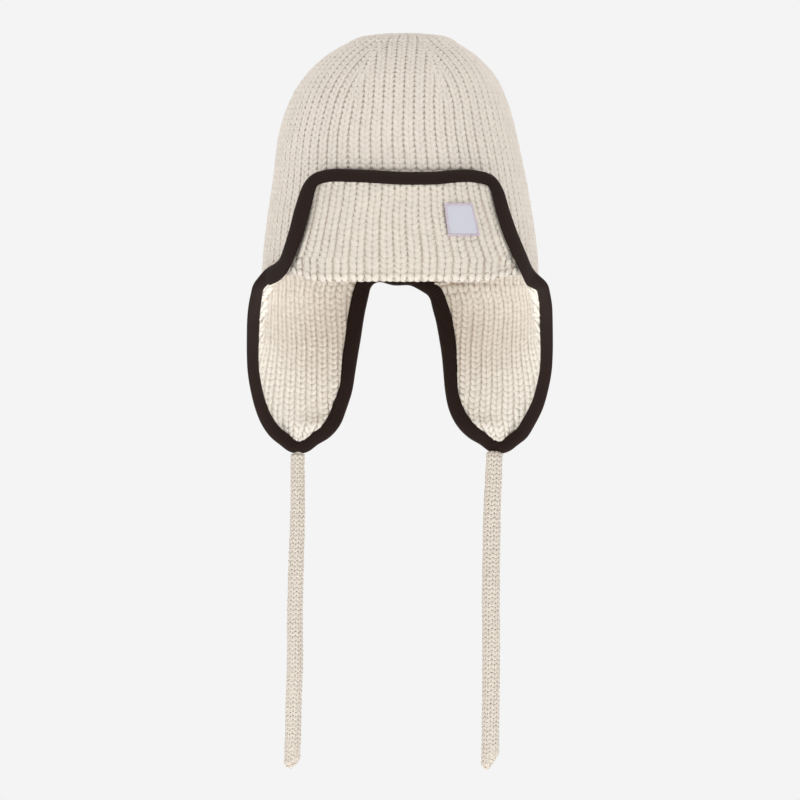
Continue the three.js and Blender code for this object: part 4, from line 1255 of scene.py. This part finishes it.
# Binding: one band folded over every free edge, with its fine ribs across it
def makeBand():
    points = np.array([stop["point"] for stop in bandLine])
    outs = np.array([stop["out"] for stop in bandLine])
    room = []
    for stop in bandLine:
        inward, foot = stop["inward"], stop.get("foot", -1e9)
        if stop.get("narrow"):
            room.append(edgeInset + knit["slack"])
        elif inward[2] < 0:
            room.append(np.clip((stop["point"][2] - foot) / -inward[2], edgeInset + knit["slack"],
                                bandSizes["width"]))
        else:
            room.append(bandSizes["width"])
    arms = [stop.get("arm", bandSizes["width"]) for stop in bandLine]
    curls = [stop.get("curl", 0.0) for stop in bandLine]
    line, length = splineThrough(np.column_stack([points, outs, room, arms, curls]), closed=True)
    count = 2 * int(length / bandSizes["ridgePitch"])
    run = np.arange(count) * length / count
    here = line(run)
    for columns, reach in ((slice(0, 3), 2.8), (slice(3, 6), 9.0), (slice(6, 9), 5.0)):  # eased along its run, in mm
        steps = np.arange(count)
        away = np.minimum(steps, count - steps) * length / count
        weight = np.exp(-((away / reach) ** 2) / 2)
        blur = np.fft.rfft(weight / weight.sum())[:, None]
        here[:, columns] = np.fft.irfft(np.fft.rfft(here[:, columns], axis=0) * blur, count, axis=0)
    along = unit(np.roll(here[:, :3], -1, axis=0) - np.roll(here[:, :3], 1, axis=0))
    out = here[:, 3:6]
    inward = unit(np.cross(along, out))
    out = np.cross(inward, along)
    back = np.clip(here[:, 6], edgeInset + knit["slack"], bandSizes["width"])
    ridge = np.where(np.arange(count) % 2 == 0, bandSizes["ridge"], -bandSizes["ridge"] * 0.6)
    width = here[:, 7]
    # (depth from the outer edge as a share of the arm, half thickness in mm, how much the ribs raise it)
    outer = [(1.0, 1.9, 0.3), (0.97, 2.7, 1), (0.85, 3.15, 1), (0.6, 3.3, 1), (0.35, 3.15, 1), (0.17, 2.6, 1),
             (0.06, 1.7, 1), (0.0, 0.0, 1)]
    section = [(a, b, r, 1) for a, b, r in outer] + [(a, -b, r, -1) for a, b, r in outer[-2::-1]]
    section += [(0.98, -1.6, 0, -1), (0.5, -1.7, 0, -1), (0.14, -1.5, 0, -1),
                (0.14, 1.5, 0, 1), (0.5, 1.7, 0, 1), (0.98, 1.6, 0, 1)]
    rings, crest = [], []
    for share, half, ribbed, arm in section:
        reach = share * (width if arm > 0 else back)
        edge = 1 - min(1.0, share / 0.17)
        push = ribbed * ridge
        reach = np.broadcast_to(reach, (count,))
        rings.append(here[:, :3] + inward * (reach - push * edge)[:, None]
                     + out * (half + np.sign(half) * push * (1 - edge) - here[:, 8] * reach ** 2)[:, None])
        # crest: 1 on each ridge's top, where the rib material paints light; 0 between, in painted shade
        crest.append(np.where(ridge > 0, 1.0, 0.0) * ribbed)
    grid = np.array(rings).transpose(1, 0, 2)
    sides = len(section)
    index = np.arange(count * sides).reshape(count, sides)
    following = np.roll(index, -1, axis=0)
    faces = np.stack([index, np.roll(index, -1, axis=1), np.roll(following, -1, axis=1), following], axis=-1)
    faces = faces.reshape(-1, 4).tolist()
    band = turnOut(newObject("knitted_band", grid.reshape(-1, 3), faces))
    setAttribute(band, "crest", np.array(crest).T)
    print("band", round(length), "mm round,", len(faces), "faces")
    return dress(band, bandCloth, "binding")


band = makeBand()
print("binding ready")

# Label: a small woven patch, kept bare
labelSizes = {
    "topWidth": 20.2,
    "lowWidth": 22.3,
    "height": 22.6,
    "lean": 2.5,  # its foot lies this far to the right of its top
    "out": 0.447,  # its middle, as shares of the half breadth and of the flap's rise
    "rise": 0.552,
    "stitches": 17,  # of the overlocked border, along each edge
    "seam": 0.482,  # where they lie, as a share of the width and height
    "thread": (1.25, 2.3, 0.9),
}
labelCloth = clothMaterial("pale woven label cloth", "#D9D9E3", "#CDCDD9", 1.3, 0.00008)
borderThread = yarnMaterial("lilac overlock thread", "#DCCFDA", "#CDBECC", "#C0B0C0", 0.00004)


def makeLabel():
    middle = labelSizes["rise"] * flapSizes["rise"]
    under = flapStandOff + fullWall / 2 + 0.5
    reach = labelSizes["out"] * halfBreadth
    share = shareWhere(lambda a: reach - besideCrown(a, middle, under)[0], 0, 0.25)

    def surface(u, v, out):  # u and v in shares of the label's width and height, from its middle
        width = labelSizes["topWidth"] + (labelSizes["lowWidth"] - labelSizes["topWidth"]) * (0.5 - v)
        run = u * width - v * labelSizes["lean"]
        return besideCrown(share + run / around, middle + v * labelSizes["height"], under + out)

    n = 28
    steps = np.linspace(-0.5, 0.5, n)
    front, back = [], []
    for v in steps:
        swell = (1 - np.abs(2 * steps) ** 6) * (1 - abs(2 * v) ** 6)
        front.append(surface(steps, v, 0.3 + 0.35 * swell))
        back.append(surface(steps, v, np.zeros(n)))
    patch = wallFrom("label_patch", np.array(front), np.array(back))
    dress(patch, labelCloth, "label")
    count, near = labelSizes["stitches"], labelSizes["seam"]
    across, upward = np.linspace(-0.5, 0.5, count), np.linspace(-0.48, 0.48, count)
    lay = {"sideStep": 0, "lift": 0.6, "uStep": 0.02, "vStep": 0.02}
    groups = [legsOn(surface, across, np.full(count, s * near), 12, **lay) for s in (-1, 1)]
    groups += [legsOn(surface, np.full(count, s * near), upward, 102, **lay) for s in (-1, 1)]
    border = growStitches("label_overlock", joinSpots(groups), purlLeg, labelSizes["thread"], borderThread, 51)
    return patch, border


labelPatch, labelBorder = makeLabel()
print("label ready")

# Studio: a pale floor well under the ties, pale air, and soft lights from the front and above
studio = {
    "floorLevel": -0.8,
    "floorHalf": 4.0,
    "floorGlow": 0.475,
    "air": "#F4F4F4",
    "airLight": 0.188,
}
floorMaterial, floorTree, _ = newMaterial("matt white acrylic")  # a studio's light table, lit a little from below
grain = addNode(floorTree, "ShaderNodeTexNoise", None, {"Scale": 12.0, "Detail": 2.0})
glow = addNode(floorTree, "ShaderNodeBsdfPrincipled", None, {
    "Base Color": mixNode(floorTree, grain.outputs["Fac"], srgb("#EFEFEF"), srgb("#F4F4F4")),
    "Roughness": 0.9,
    "Specular IOR Level": 0.1,
    "Emission Color": srgb("#FFFFFF"),
    "Emission Strength": studio["floorGlow"],
})
addNode(floorTree, "ShaderNodeOutputMaterial", None, {"Surface": glow.outputs[0]})
turns = np.linspace(0, 2 * math.pi, 96, endpoint=False)
disc = stack(np.cos(turns), np.sin(turns), 0.0) * studio["floorHalf"] / mm + np.array([0, 0, studio["floorLevel"] / mm])
floor = newObject("floor", disc, [list(range(96))], smooth=False)
floor.data.materials.append(floorMaterial)

world = bpy.data.worlds.new("studio air")
bpy.context.scene.world = world
world.use_nodes = True
airTree = world.node_tree
airTree.nodes.clear()
seen = addNode(airTree, "ShaderNodeBackground", None, {"Color": srgb(studio["air"]), "Strength": 1.0})
lighting = addNode(airTree, "ShaderNodeBackground", None, {"Color": (1, 1, 1, 1), "Strength": studio["airLight"]})
rays = addNode(airTree, "ShaderNodeLightPath")
air = addNode(airTree, "ShaderNodeMixShader", None,
              {0: rays.outputs["Is Camera Ray"], 1: lighting.outputs[0], 2: seen.outputs[0]})
addNode(airTree, "ShaderNodeOutputWorld", None, {"Surface": air.outputs[0]})

for name, place, target, size, power in (
    ("key", (-0.7, -2.0, 1.2), (0, 0, 0.04), 1.2, 2.2),
    ("front fill", (0, -2.6, -0.1), (0, 0, -0.05), 1.6, 3.3),
    ("low left fill", (-1.9, -1.2, -0.31), (0.07, 0, -0.06), 0.8, 17),
    ("low right fill", (1.9, -1.2, -0.31), (-0.07, 0, -0.06), 0.8, 17),
    ("top", (0, -0.4, 2.4), (0, 0, 0), 1.8, 38),
    ("back", (0.3, 2.4, 0.6), (0, 0, -0.04), 1.4, 29),
):
    data = bpy.data.lights.new(name, "AREA")
    data.shape = "SQUARE"
    data.size = size
    data.energy = power
    light = bpy.data.objects.new(name, data)
    bpy.context.scene.collection.objects.link(light)
    light.location = place
    light.rotation_euler = (Vector(target) - Vector(place)).to_track_quat("-Z", "Y").to_euler()
bpy.context.scene.view_settings.view_transform = "Standard"
print("studio ready")
